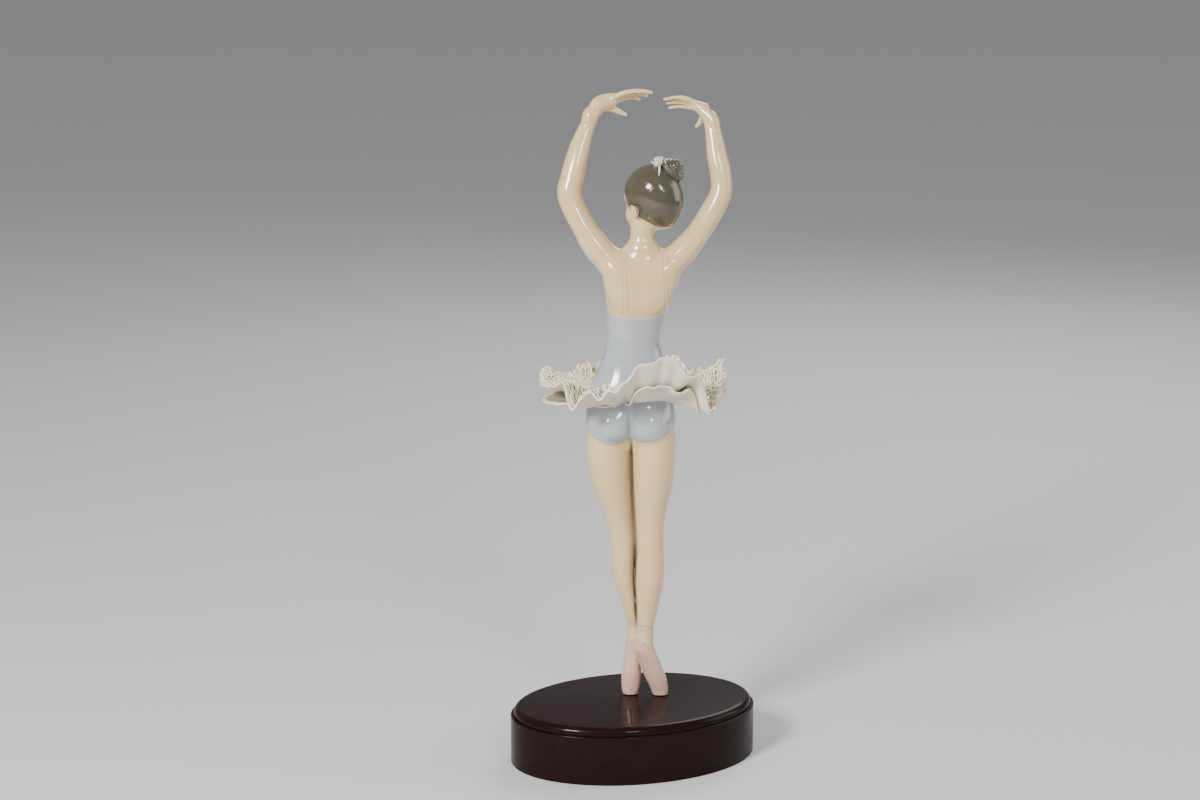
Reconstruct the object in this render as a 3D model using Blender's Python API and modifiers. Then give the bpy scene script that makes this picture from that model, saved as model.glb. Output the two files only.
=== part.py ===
"""A glazed porcelain ballerina, standing on her toes on an oval wooden plinth.

Metres, +Z up. The origin is the centre of the plinth's underside, X runs along
the plinth's length and the plinth's front faces -Y. The dancer is cast in one
piece with her skirt and hair flower, and stands on the plinth.
"""

import math

import bmesh
import bpy
from mathutils import Euler, Matrix, Vector

# Plinth sizes
PLINTH_LENGTH = 0.178
PLINTH_WIDTH = 0.127
PLINTH_SIDE_HEIGHT = 0.0348
PLINTH_CAP_HEIGHT = 0.0058
PLINTH_CAP_INSET = 0.0022
PLINTH_CAP_ROUNDING = 0.0046
PLINTH_SEGMENTS = 56

# Where the dancer stands
FIGURE_HEIGHT = 0.431
FIGURE_TURN = math.radians(-18.3)
FIGURE_ACROSS = -0.008
FIGURE_ALONG = -0.008
SEAT_GAP = 0.0003

# Porcelain thickness of the skirt
SKIRT_ROOT_THICKNESS = 0.0022
SKIRT_RIM_THICKNESS = 0.0014

# One sculptor's unit is a thousandth of the dancer's height. Every size of the
# free form below is given in it: across to her left, back, up.
UNIT = FIGURE_HEIGHT / 1000

# Fineness of the sculpted form, as shares of the height
CLAY_GRAIN = 1.9 * UNIT
BODY_DETAIL = 0.021

# Stations of a limb: across, back, up, half width, half depth
TORSO = (
    (16, 2, 421, 33, 29), (16, 3, 446, 68, 41), (17.5, 4, 475, 70, 45), (17, 3, 501, 69, 44),
    (16, 0, 528, 64, 41), (14.5, -3, 554, 54, 37), (14, -5, 580, 44.5, 33), (14, -6, 600, 42, 31.5),
    (12.5, -6, 622, 44, 33), (8, -5, 647, 48.5, 36), (6, -3, 672, 53, 38), (2, -2, 698, 58, 38),
    (0, -2, 716, 61, 35), (0, -1, 732, 56, 29), (-1, 0, 748, 36, 22), (-1, 1, 760, 22, 18),
)
NECK = ((-1, 0, 725, 22, 20), (-1, -1, 752, 20.5, 19), (-1, -3, 775, 19.5, 19), (-3, -6, 806, 20, 20))
LEFT_LEG = (
    (48, 3, 476, 34, 37), (52, 2, 438, 37, 39), (52, 1, 409, 37, 39), (49.5, 0, 382, 35, 37),
    (45, -1, 355, 32, 34), (38.5, -3, 328, 28, 30), (33, -5, 302, 24, 26), (28.5, -7, 275, 22, 24),
    (25, -7, 248, 21, 23), (25, -6, 220, 21, 24), (22, -7, 193, 19.5, 22), (16.5, -9, 166, 17, 18),
    (11.5, -11, 139, 14.5, 15), (7.5, -13, 116, 12, 13), (7.5, -14, 98, 12, 13),
)
RIGHT_LEG = (
    (-16, 4, 476, 34, 37), (-20.5, 4, 438, 37, 39), (-19.5, 4, 409, 36.5, 39), (-19, 4, 382, 35, 37),
    (-18.5, 4, 355, 33, 34), (-15, 4, 328, 28.5, 30), (-12.5, 5, 302, 25.5, 26), (-14, 6, 275, 23.5, 24),
    (-13.5, 8, 248, 24, 25), (-13.5, 10, 220, 26, 27), (-12.5, 11, 193, 25, 25), (-10.5, 11, 166, 21, 21),
    (-8, 11, 139, 17.5, 17), (-6, 11, 118, 15, 14.5), (-6, 11, 102, 14, 14),
)
LEFT_FOOT = (
    (8.5, -14, 104, 11, 13), (9.5, -13, 88, 13, 16), (11, -11, 70, 14.5, 17), (13, -8, 50, 15.5, 15.5),
    (14.5, -5, 30, 16.5, 14), (15.5, -4, 14, 15, 12), (15.5, -3, 2, 10.5, 9),
)
RIGHT_FOOT = (
    (-7, 11, 108, 13, 14), (-5.5, 13, 92, 16.5, 16), (-8.5, 13, 78, 18.5, 16.5), (-15, 10, 60, 18.5, 14.5),
    (-22, 7, 42, 18, 13.5), (-28, 4, 26, 17, 12.5), (-32, 2, 13, 14, 11), (-33.5, 1, 2, 10, 8.5),
)
LEFT_ARM = (
    (36, -2, 704, 22, 25), (55, -3, 731, 26.5, 26), (72, -4, 755, 25, 24.5), (88, -7, 778, 22.5, 22),
    (101, -10, 801, 21, 20.5), (111, -13, 821, 20, 19.5), (115.5, -15, 838, 20, 19), (112.5, -18, 855, 20, 18),
    (106, -22, 878, 19, 17), (100.5, -27, 901, 17.5, 15.5), (92, -32, 925, 15.5, 13.5), (85, -36, 944, 13.5, 12),
    (80, -39, 957, 12.5, 11),
)
RIGHT_ARM = (
    (-36, -2, 704, 22, 25), (-54, -3, 730, 26, 26), (-71, -4, 752, 25, 24.5), (-88, -7, 774, 22.5, 22),
    (-103, -10, 796, 21, 20.5), (-117, -13, 818, 20, 19.5), (-126.5, -15, 839, 19, 19), (-128, -18, 858, 18, 18),
    (-124.5, -22, 880, 17.5, 17), (-119.5, -27, 902, 16, 15.5), (-116, -32, 921, 14, 13.5), (-113.5, -36, 936, 13, 12),
    (-111.5, -38, 946, 12.5, 11.5),
)
LEFT_PALM = ((79, -40, 958, 12.5, 10.5), (70, -43, 970, 13.5, 9), (56, -46, 974, 13.5, 8), (42, -48, 979, 10.5, 7))
RIGHT_PALM = ((-112, -39, 946, 12.5, 11), (-108, -43, 957, 12.5, 9), (-98, -47, 966, 11, 8), (-84, -49, 974, 8.5, 7))
LEFT_DIGITS = (
    ((40, -46, 984, 5.5), (28, -44, 992, 5.2), (13, -45, 992.5, 4.7), (-15, -48, 992, 4.1)),
    ((40, -50, 982, 5.5), (24, -51, 989, 5.2), (10, -53, 989, 4.7), (-8, -55, 988, 4.1)),
    ((40, -53, 978, 5.5), (28, -57, 983, 5.1), (20, -60, 984, 4.6), (4, -62, 983, 4.1)),
    ((44, -43, 983, 5), (30, -39, 994, 4.7), (18, -38, 995, 4.3), (4, -40, 994, 3.8)),
    ((62, -52, 968, 8.5), (48, -56, 966, 7), (36, -57, 962, 6), (25, -58, 957, 4.8)),
)
RIGHT_DIGITS = (
    ((-84, -47, 976, 5.5), (-70, -45, 981, 5.2), (-55, -46, 982, 4.7), (-36, -48, 981, 4.1)),
    ((-84, -51, 973, 5.5), (-70, -52, 976, 5.2), (-56, -54, 977, 4.7), (-41, -56, 976, 4.1)),
    ((-86, -54, 970, 5.5), (-74, -57, 969, 5.1), (-62, -60, 970, 4.6), (-44, -62, 969, 4.1)),
    ((-84, -44, 977, 5), (-69, -40, 984, 4.7), (-58, -39, 985, 4.3), (-46, -41, 984, 3.8)),
    ((-100, -50, 960, 8.5), (-97, -54, 951, 7), (-93, -56, 944, 6), (-88, -57, 938, 4.8)),
)
# Rounded forms that swell out of the torso: across, back, up, then three half sizes
SWELLS = (
    (48, 12, 468, 40, 45, 42), (-15, 12, 468, 40, 45, 42),
    (26, -23, 669, 26, 24, 30), (-15, -23, 669, 26, 24, 30),
    (-1, 20, 88, 10, 8, 11), (9.5, -2, 90, 9, 8, 11),
)

# The head has its own frame: to her left, forward and up from the skull's centre
HEAD_CENTRE = (-15, -4, 836)
HEAD_YAW = math.radians(50)
HEAD_PITCH = math.radians(4)
HEAD_ROLL = math.radians(14)
# left, forward, up, then three half sizes
HEAD_FORMS = (
    (0, 0, 0, 36, 44, 43), (0, 14, -16, 29, 31, 31), (0, 24, -32, 17, 17, 16), (0, 30, -38, 9, 10, 8),
    (0, 41, -10, 3.6, 4, 10), (0, 45, -15, 4.2, 5, 3.6), (0, 41, -25, 6, 3.6, 2.6), (0, 36, 8, 20, 8, 7),
    (35, -2, -10, 3.5, 6, 10), (-35, -2, -10, 3.5, 6, 10),
)
HAIR_FORMS = ((0, -5, 6, 40, 46, 43), (0, -20, -12, 33, 30, 32))
BUN_CENTRE = (0, -37, 38)
BUN_TURNS = 3
BUN_RADIUS = 17
LOCK_RADIUS = 6.2
FLOWER_PLACE = (10, -16, 47)
FLOWER_PETALS = 8
FLOWER_RADIUS = 10

# Skirt: how high its rim stands at every twenty degrees, from her left round her back
RIM_HEIGHTS = (
    540, 528, 535, 536, 562, 595, 588, 556, 538, 532, 540, 538, 542, 546, 544, 538, 530, 534,
)
SKIRT_CENTRE = (15, 2)
SKIRT_RADIUS = 147
SKIRT_ROOT_HEIGHT = 509
SKIRT_ROOT_WIDTH = 58
SKIRT_ROOT_DEPTH = 36
SKIRT_FLUTES = 19
FLUTE_DEPTH = 10
FLUTE_DEPTH_AT_SIDES = 11
SKIRT_STEPS_ROUND = 95
SKIRT_STEPS_OUT = 5
LACE_FOLDS = 30
LACE_HEIGHT = 9
LACE_START = 0.5

RING_SIDES = 16
STEPS_PER_STATION = 3


def clear_scene():
    for old in list(bpy.data.objects):
        bpy.data.objects.remove(old)


def new_collection(name):
    made = bpy.data.collections.new(name)
    bpy.context.scene.collection.children.link(made)
    return made


def glaze(name, colour, roughness, metallic=0.0):
    """A Principled material with one colour."""
    material = bpy.data.materials.new(name)
    material.use_nodes = True
    shader = material.node_tree.nodes["Principled BSDF"]
    shader.inputs["Base Color"].default_value = (*colour, 1)
    shader.inputs["Roughness"].default_value = roughness
    shader.inputs["Metallic"].default_value = metallic
    return material


def new_object(name, form, collection, parent=None):
    """Turns a bmesh into a named object."""
    mesh = bpy.data.meshes.new(name)
    form.to_mesh(mesh)
    form.free()
    made = bpy.data.objects.new(name, mesh)
    collection.objects.link(made)
    made.parent = parent
    return made


def spline(rows, steps):
    """Points of a Catmull-Rom curve through the rows, whatever a row holds."""
    points = [Vector(row) for row in rows]
    points = [2 * points[0] - points[1], *points, 2 * points[-1] - points[-2]]
    found = []
    for a, b, c, d in zip(points, points[1:], points[2:], points[3:]):
        for step in range(steps):
            t = step / steps
            found.append(
                0.5 * (2 * b + (c - a) * t + (2 * a - 5 * b + 4 * c - d) * t**2 + (3 * b - a - 3 * c + d) * t**3)
            )
    found.append(points[-2])
    return found


def ring(form, centre, along, half_width, half_depth):
    """A ring of vertices square to the path, its depth as near the back as it can be."""
    depth_axis = (Vector((0, 1, 0)) - along * along.y).normalized()
    width_axis = depth_axis.cross(along)
    made = []
    for side in range(RING_SIDES):
        angle = math.tau * side / RING_SIDES
        made.append(
            form.verts.new(
                centre + width_axis * half_width * math.cos(angle) + depth_axis * half_depth * math.sin(angle)
            )
        )
    return made


def add_limb(form, stations):
    """Lofts a limb through its stations, with a rounded end at both tips."""
    rows = [UNIT * row for row in spline(stations, STEPS_PER_STATION)]
    centres = [row.resized(3) if len(row) == 3 else Vector(row[:3]) for row in rows]
    sections = []
    for index, row in enumerate(rows):
        before, after = centres[max(index - 1, 0)], centres[min(index + 1, len(rows) - 1)]
        sections.append((centres[index], (after - before).normalized(), row[3], row[-1]))
    for end, way in ((0, -1), (-1, 1)):
        centre, along, wide, deep = sections[end]
        dome = [
            (centre + along * way * min(wide, deep) * math.sin(a), along, wide * math.cos(a), deep * math.cos(a))
            for a in (math.radians(35), math.radians(68))
        ]
        sections = dome[::-1] + sections if end == 0 else sections + dome
    rings = [ring(form, *section) for section in sections]
    for first, second in zip(rings, rings[1:]):
        for side in range(RING_SIDES):
            following = (side + 1) % RING_SIDES
            form.faces.new((first[side], first[following], second[following], second[side]))
    form.faces.new(rings[0][::-1])
    form.faces.new(rings[-1])


def add_ellipsoid(form, centre, half_sizes, frame=Matrix.Identity(4)):
    place = frame @ Matrix.Translation(Vector(centre) * UNIT) @ Matrix.Diagonal((*(UNIT * s for s in half_sizes), 1))
    bmesh.ops.create_uvsphere(form, u_segments=20, v_segments=12, radius=1, matrix=place)


def head_frame():
    """Her left, forward and up as the columns of a matrix, with the skull's centre."""
    turned = Euler((HEAD_PITCH, HEAD_ROLL, HEAD_YAW), "XYZ").to_matrix().to_4x4()
    facing = Matrix(((1, 0, 0, 0), (0, -1, 0, 0), (0, 0, 1, 0), (0, 0, 0, 1)))
    return Matrix.Translation(Vector(HEAD_CENTRE) * UNIT) @ turned @ facing


def bun_path():
    """A lock of hair wound into a flattened dome, one turn inside the other."""
    steps = 14 * BUN_TURNS
    back = Vector((0, -0.68, 0.73))
    side = Vector((1, 0, 0))
    other = back.cross(side)
    rows = []
    for step in range(steps + 1):
        share = step / steps
        angle = math.tau * BUN_TURNS * share
        radius = BUN_RADIUS * (1 - 0.78 * share)
        rise = 15 * share
        spot = Vector(BUN_CENTRE) + side * radius * math.cos(angle) + other * radius * math.sin(angle) + back * rise
        rows.append((*spot, LOCK_RADIUS))
    return rows


def add_head(form):
    frame = head_frame()
    for x, y, z, *sizes in (*HEAD_FORMS, *HAIR_FORMS):
        add_ellipsoid(form, (x, y, z), sizes, frame)
    add_ellipsoid(form, BUN_CENTRE, (14, 16, 14), frame)
    rows = []
    for x, y, z, radius in bun_path():
        spot = frame @ (Vector((x, y, z)) * UNIT) / UNIT
        rows.append((*spot, radius, radius))
    add_limb(form, rows[::2])


def add_digits(form, digits):
    for digit in digits:
        add_limb(form, [(x, y, z, radius, radius) for x, y, z, radius in digit])


def body_clay():
    """All the overlapping forms of the body, before they are fused."""
    form = bmesh.new()
    for limb in (TORSO, NECK, LEFT_LEG, RIGHT_LEG, LEFT_FOOT, RIGHT_FOOT, LEFT_ARM, RIGHT_ARM, LEFT_PALM, RIGHT_PALM):
        add_limb(form, limb)
    add_digits(form, LEFT_DIGITS)
    add_digits(form, RIGHT_DIGITS)
    for x, y, z, *sizes in SWELLS:
        add_ellipsoid(form, (x, y, z), sizes)
    add_head(form)
    bmesh.ops.recalc_face_normals(form, faces=form.faces)
    return form


def round_the_skirt(values, angle):
    """Reads values given at equal angles, smoothly and without a seam."""
    place = (angle % math.tau) / math.tau * len(values)
    whole = int(place)
    t = place - whole
    a, b, c, d = (values[(whole + shift) % len(values)] for shift in (-1, 0, 1, 2))
    return 0.5 * (2 * b + (c - a) * t + (2 * a - 5 * b + 4 * c - d) * t**2 + (3 * b - a - 3 * c + d) * t**3)


def skirt_point(angle, share):
    """A point on the middle of the skirt, in units, from the hips at share 0 to the rim at 1."""
    across = SKIRT_ROOT_WIDTH + (SKIRT_RADIUS - SKIRT_ROOT_WIDTH) * share
    back = SKIRT_ROOT_DEPTH + (SKIRT_RADIUS - SKIRT_ROOT_DEPTH) * share
    depth = FLUTE_DEPTH + FLUTE_DEPTH_AT_SIDES * math.cos(angle) ** 2
    flute = depth * share**1.5 * math.sin(SKIRT_FLUTES * angle + 1.2 * math.sin(2 * angle))
    climb = (round_the_skirt(RIM_HEIGHTS, angle) - SKIRT_ROOT_HEIGHT) * share**1.3
    return Vector(
        (
            SKIRT_CENTRE[0] + across * math.cos(angle),
            SKIRT_CENTRE[1] + back * math.sin(angle),
            SKIRT_ROOT_HEIGHT + climb + flute,
        )
    )


def skirt():
    """A closed sheet round the hips: a top and a bottom grid that meet at the rim and at the root."""
    form = bmesh.new()
    top, bottom = [], []
    for out in range(SKIRT_STEPS_OUT + 1):
        share = out / SKIRT_STEPS_OUT
        half = (SKIRT_ROOT_THICKNESS + (SKIRT_RIM_THICKNESS - SKIRT_ROOT_THICKNESS) * share) / 2
        lace = LACE_HEIGHT * max(0, share - LACE_START) / (1 - LACE_START)
        upper, lower = [], []
        for step in range(SKIRT_STEPS_ROUND):
            angle = math.tau * step / SKIRT_STEPS_ROUND
            middle = skirt_point(angle, share) * UNIT
            crest = lace * (1 + 0.5 * math.sin(LACE_FOLDS * angle)) * UNIT
            upper.append(form.verts.new(middle + Vector((0, 0, half + crest))))
            lower.append(form.verts.new(middle - Vector((0, 0, half))))
        top.append(upper)
        bottom.append(lower)
    loops = [*top, *bottom[::-1]]
    for first, second in zip(loops, [*loops[1:], loops[0]]):
        for step in range(SKIRT_STEPS_ROUND):
            following = (step + 1) % SKIRT_STEPS_ROUND
            form.faces.new((first[step], second[step], second[following], first[following]))
    bmesh.ops.recalc_face_normals(form, faces=form.faces)
    return form


def hair_flower():
    """A small open flower: a cone of petals round a bud."""
    form = bmesh.new()
    frame = head_frame()
    up = Vector((0.35, -0.35, 0.87)).normalized()
    side = up.orthogonal().normalized()
    other = up.cross(side)
    foot = form.verts.new(frame @ ((Vector(FLOWER_PLACE) - up * 10) * UNIT))
    heart = form.verts.new(frame @ ((Vector(FLOWER_PLACE) + up * 3) * UNIT))
    rim = []
    for step in range(2 * FLOWER_PETALS):
        angle = math.pi * step / FLOWER_PETALS
        reach = FLOWER_RADIUS * (1 if step % 2 else 0.55)
        rise = 6 if step % 2 else 3
        spot = Vector(FLOWER_PLACE) + (side * math.cos(angle) + other * math.sin(angle)) * reach + up * rise
        rim.append(form.verts.new(frame @ (spot * UNIT)))
    for first, second in zip(rim, [*rim[1:], rim[0]]):
        form.faces.new((first, second, heart))
        form.faces.new((second, first, foot))
    bmesh.ops.recalc_face_normals(form, faces=form.faces)
    return form


def fuse(body, pieces, cutter):
    """Fuses the clay into one skin, thins out its faces, and adds the thin porcelain pieces."""
    skin = body.modifiers.new("Fuse", "REMESH")
    skin.mode = "VOXEL"
    skin.voxel_size = CLAY_GRAIN
    smoothing = body.modifiers.new("Sponge", "SMOOTH")
    smoothing.factor = 0.5
    smoothing.iterations = 5
    thinning = body.modifiers.new("Thin", "DECIMATE")
    thinning.ratio = BODY_DETAIL
    for piece in pieces:
        join = body.modifiers.new("Join " + piece.name, "BOOLEAN")
        join.operation = "UNION"
        join.object = piece
    cut = body.modifiers.new("Level toes", "BOOLEAN")
    cut.operation = "DIFFERENCE"
    cut.object = cutter


def oval_plinth():
    """An oval block with a step and a rounded cap."""
    form = bmesh.new()
    bmesh.ops.create_circle(form, cap_ends=True, segments=PLINTH_SEGMENTS, radius=0.5)
    bmesh.ops.scale(form, vec=(PLINTH_LENGTH, PLINTH_WIDTH, 1), verts=form.verts)
    floor = form.faces[:]
    risen = bmesh.ops.extrude_face_region(form, geom=floor, use_keep_orig=True)
    top = [f for f in risen["geom"] if isinstance(f, bmesh.types.BMFace)]
    bmesh.ops.translate(form, vec=(0, 0, PLINTH_SIDE_HEIGHT), verts=top[0].verts)
    bmesh.ops.inset_region(form, faces=top, thickness=PLINTH_CAP_INSET, use_even_offset=True)
    risen = bmesh.ops.extrude_face_region(form, geom=top)
    bmesh.ops.delete(form, geom=top, context="FACES")
    cap = [f for f in risen["geom"] if isinstance(f, bmesh.types.BMFace)]
    bmesh.ops.translate(form, vec=(0, 0, PLINTH_CAP_HEIGHT), verts=cap[0].verts)
    bmesh.ops.bevel(
        form, geom=cap[0].edges[:], offset=PLINTH_CAP_ROUNDING, segments=4, profile=0.5, affect="EDGES"
    )
    bmesh.ops.recalc_face_normals(form, faces=form.faces)
    return form


def helper(piece):
    piece.hide_render = True
    piece.display_type = "WIRE"
    return piece


def main():
    clear_scene()
    parts = new_collection("ballerina_figurine")
    helpers = new_collection("helpers")

    stand = bpy.data.objects.new("stand", None)
    stand.location = (FIGURE_ACROSS, FIGURE_ALONG, PLINTH_SIDE_HEIGHT + PLINTH_CAP_HEIGHT + SEAT_GAP)
    stand.rotation_euler.z = FIGURE_TURN
    parts.objects.link(stand)

    wood = glaze("mahogany_lacquer", (0.030, 0.008, 0.008), 0.3)
    porcelain = glaze("glazed_porcelain", (0.68, 0.58, 0.44), 0.15)

    plinth = new_object("plinth", oval_plinth(), parts)
    plinth.data.materials.append(wood)
    plinth.data.set_sharp_from_angle(angle=math.radians(35))

    ballerina = new_object("ballerina", body_clay(), parts, stand)
    ballerina.data.materials.append(porcelain)
    thin_pieces = [
        helper(new_object("skirt", skirt(), helpers, stand)),
        helper(new_object("hair_flower", hair_flower(), helpers, stand)),
    ]
    below = bmesh.new()
    bmesh.ops.create_cube(below, size=FIGURE_HEIGHT, matrix=Matrix.Translation((0, 0, -FIGURE_HEIGHT / 2)))
    stage = helper(new_object("below_the_toes", below, helpers, stand))
    fuse(ballerina, thin_pieces, stage)
    ballerina.data.shade_smooth()


main()
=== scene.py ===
import math
from itertools import product

import bpy
import numpy as np
from mathutils import Matrix, Vector


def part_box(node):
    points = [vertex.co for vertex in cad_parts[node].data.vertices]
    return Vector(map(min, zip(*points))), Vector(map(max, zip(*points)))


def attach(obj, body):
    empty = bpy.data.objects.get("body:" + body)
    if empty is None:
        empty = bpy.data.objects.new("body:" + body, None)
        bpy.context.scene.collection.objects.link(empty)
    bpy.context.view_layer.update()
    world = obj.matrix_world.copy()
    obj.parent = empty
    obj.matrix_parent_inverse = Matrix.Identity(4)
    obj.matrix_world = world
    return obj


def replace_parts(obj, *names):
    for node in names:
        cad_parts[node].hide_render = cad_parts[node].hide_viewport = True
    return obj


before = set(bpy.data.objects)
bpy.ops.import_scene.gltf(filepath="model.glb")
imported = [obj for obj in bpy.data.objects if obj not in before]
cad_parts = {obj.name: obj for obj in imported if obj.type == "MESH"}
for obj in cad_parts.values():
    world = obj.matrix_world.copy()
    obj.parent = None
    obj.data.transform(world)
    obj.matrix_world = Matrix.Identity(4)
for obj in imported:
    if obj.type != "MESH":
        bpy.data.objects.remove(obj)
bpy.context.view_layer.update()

dancerLow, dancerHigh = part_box("ballerina")
plinthLow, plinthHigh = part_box("plinth")

# The dancer is worked out in parts of a thousandth of her height: +x is her left, +y is behind her, +z is up
stance = {
    "turn": -18.3,  # degrees, from the plinth's front
    "across": -0.008,  # metres, from the plinth's middle
    "along": -0.008,
}
part = (dancerHigh.z - dancerLow.z) / 1000
millimetre = 0.001 / part
stanceTurn = math.radians(stance["turn"])


def turned(points):
    # Turns points or directions about the upright axis
    c, s = math.cos(stanceTurn), math.sin(stanceTurn)
    x, y, z = points[..., 0], points[..., 1], points[..., 2]
    return np.stack((x * c - y * s, x * s + y * c, z), axis=-1)


def ontoPlinth(points):
    # Turns the points, scales parts to metres and moves them onto the plinth
    return turned(points) * part + np.array((stance["across"], stance["along"], dancerLow.z))


# Meshes


def putMesh(name, points, faces, normals=None, paint=None):
    # Puts arrays of points, of quads or triangles and of one value per point into a new object
    mesh = bpy.data.meshes.new(name)
    mesh.from_pydata(points.tolist(), [], faces if isinstance(faces, list) else faces.tolist())
    mesh.shade_smooth()
    for title, values in (paint or {}).items():
        mesh.attributes.new(title, "FLOAT", "POINT").data.foreach_set("value", values.astype(np.float32))
    if normals is not None:
        mesh.normals_split_custom_set_from_vertices(normals.tolist())
    made = bpy.data.objects.new(name, mesh)
    bpy.context.scene.collection.objects.link(made)
    return made


def gridFaces(rows, columns, closeRows=False):
    # Quads between neighbouring rows and columns of a grid of points, whose last column meets the first
    r, c = np.arange(rows if closeRows else rows - 1), np.arange(columns)
    r, c = (a.ravel() for a in np.meshgrid(r, c, indexing="ij"))
    row, below, beside = r * columns, (r + 1) % rows * columns, (c + 1) % columns
    return np.stack((row + c, row + beside, below + beside, below + c), axis=1)


# Materials


def colour(code):
    # A linear colour from a written one
    parts = [int(code[i : i + 2], 16) / 255 for i in (1, 3, 5)]
    return (*(c / 12.92 if c <= 0.04045 else ((c + 0.055) / 1.055) ** 2.4 for c in parts), 1)


def addNode(tree, kind, sockets=None, **settings):
    # A shader node, its settings, and its sockets as numbers, colours or links
    made = tree.nodes.new(kind)
    for key, value in settings.items():
        setattr(made, key, value)
    for key, value in (sockets or {}).items():
        if isinstance(value, bpy.types.NodeSocket):
            tree.links.new(value, made.inputs[key])
        else:
            made.inputs[key].default_value = value
    return made


def newMaterial(name, finish):
    # A material, its nodes and its shader, with the values that are the same all over it
    made = bpy.data.materials.new(name)
    made.use_nodes = True
    shader = made.node_tree.nodes["Principled BSDF"]
    for key, value in finish.items():
        shader.inputs[key].default_value = value
    return made, made.node_tree, shader


def shaded(code, change):
    # The same colour, darker or lighter by a factor
    return (*(c * change for c in colour(code)[:3]), 1)


def painted(tree, attribute, under, over, soft=0.1, edge=0.0):
    # Lays one glaze over another where the attribute, a distance in millimetres, is below the edge
    read = addNode(tree, "ShaderNodeAttribute", attribute_name=attribute).outputs["Fac"]
    ramp = {"Value": read, "From Min": edge + soft, "From Max": edge - soft}
    share = addNode(tree, "ShaderNodeMapRange", ramp).outputs["Result"]
    return addNode(tree, "ShaderNodeMix", {0: share, 6: under, 7: over}, data_type="RGBA").outputs[2]


def place(tree, scale=(1, 1, 1)):
    # Object coordinates in metres, stretched
    where = addNode(tree, "ShaderNodeTexCoord").outputs["Object"]
    return addNode(tree, "ShaderNodeMapping", {"Vector": where, "Scale": scale}).outputs["Vector"]


glaze = {
    "skin": "#e1c28c",
    "leotard": "#aeb4b8",
    "neckEdge": "#cfccc4",
    "line": "#9c8874",
    "strap": "#c39d86",
    "sole": "#be9789",
    # pooled glaze and painted shade: darker brown in the crease between the legs
    "pool": "#6d5a45",
    "shoe": "#e0b39f",
    "hair": "#4d4736",
    "lips": "#c98f84",
    "lash": "#6e5a4a",
    "strapHalf": 1.45,  # millimetres: a strap is two painted lines, this far from its middle
    "strapLine": 0.22,  # half of such a line's width
    "soleLine": 0.13,
    "finish": {"Roughness": 0.13, "IOR": 1.5, "Coat Weight": 0.5, "Coat Roughness": 0.04},
}


def mottled(tree, code, change):
    # The colour as brushed on by hand, a little darker in broad patches of about 15 mm
    noise = addNode(tree, "ShaderNodeTexNoise", {"Vector": place(tree), "Scale": 65, "Detail": 2})
    sockets = {0: noise.outputs["Fac"], 6: colour(code), 7: shaded(code, change)}
    return addNode(tree, "ShaderNodeMix", sockets, data_type="RGBA").outputs[2]


def porcelainSkin():
    # Glazed porcelain: cream under a clear glassy glaze, a blue-grey leotard and pink shoes with crisp edges
    made, tree, shader = newMaterial("glazed_porcelain", glaze["finish"])
    read = {name: addNode(tree, "ShaderNodeAttribute", attribute_name=name).outputs["Fac"]
            for name in ("strap", "pool", "sole", "above")}
    away = addNode(tree, "ShaderNodeMath", {0: read["strap"]}, operation="ABSOLUTE").outputs[0]
    sockets = {0: away, 1: glaze["strapHalf"], 2: glaze["strapLine"]}
    strap = addNode(tree, "ShaderNodeMath", sockets, operation="COMPARE").outputs[0]
    sockets = {0: read["sole"], 1: 0.0, 2: glaze["soleLine"]}
    seam = addNode(tree, "ShaderNodeMath", sockets, operation="COMPARE").outputs[0]
    coat = mottled(tree, glaze["skin"], 0.93)
    # The pool colour darkens the crease between the legs: glaze pooled there, and painted shade
    for share, over in ((strap, "strap"), (read["pool"], "pool")):
        sockets = {0: share, 6: coat, 7: colour(glaze[over])}
        coat = addNode(tree, "ShaderNodeMix", sockets, data_type="RGBA").outputs[2]
    coat = painted(tree, "foot", coat, colour(glaze["sole"]), 0.08, 0.2)
    coat = painted(tree, "foot", coat, mottled(tree, glaze["shoe"], 0.9), 0.1, -0.12)
    sockets = {0: seam, 6: coat, 7: colour(glaze["sole"])}
    coat = addNode(tree, "ShaderNodeMix", sockets, data_type="RGBA").outputs[2]
    sockets = {0: read["above"], 6: colour(glaze["line"]), 7: colour(glaze["neckEdge"])}
    border = addNode(tree, "ShaderNodeMix", sockets, data_type="RGBA").outputs[2]
    coat = painted(tree, "leotard", coat, border, 0.1, 0.3)
    coat = painted(tree, "leotard", coat, mottled(tree, glaze["leotard"], 0.92), 0.14, -0.2)
    tree.links.new(coat, shader.inputs["Base Color"])
    ripple = addNode(tree, "ShaderNodeTexNoise", {"Vector": place(tree), "Scale": 140, "Detail": 1})
    sockets = {"Height": ripple.outputs["Fac"], "Distance": 0.0001, "Strength": 0.07}
    relief = addNode(tree, "ShaderNodeBump", sockets)
    tree.links.new(relief.outputs["Normal"], shader.inputs["Normal"])
    return made


def porcelainFace():
    # The same glazed porcelain with painted lips, brows and lashes
    made, tree, shader = newMaterial("glazed_porcelain_face", glaze["finish"])
    lips = painted(tree, "lips", mottled(tree, glaze["skin"], 0.93), colour(glaze["lips"]), 0.25)
    tree.links.new(painted(tree, "lash", lips, colour(glaze["lash"]), 0.08), shader.inputs["Base Color"])
    return made


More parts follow.
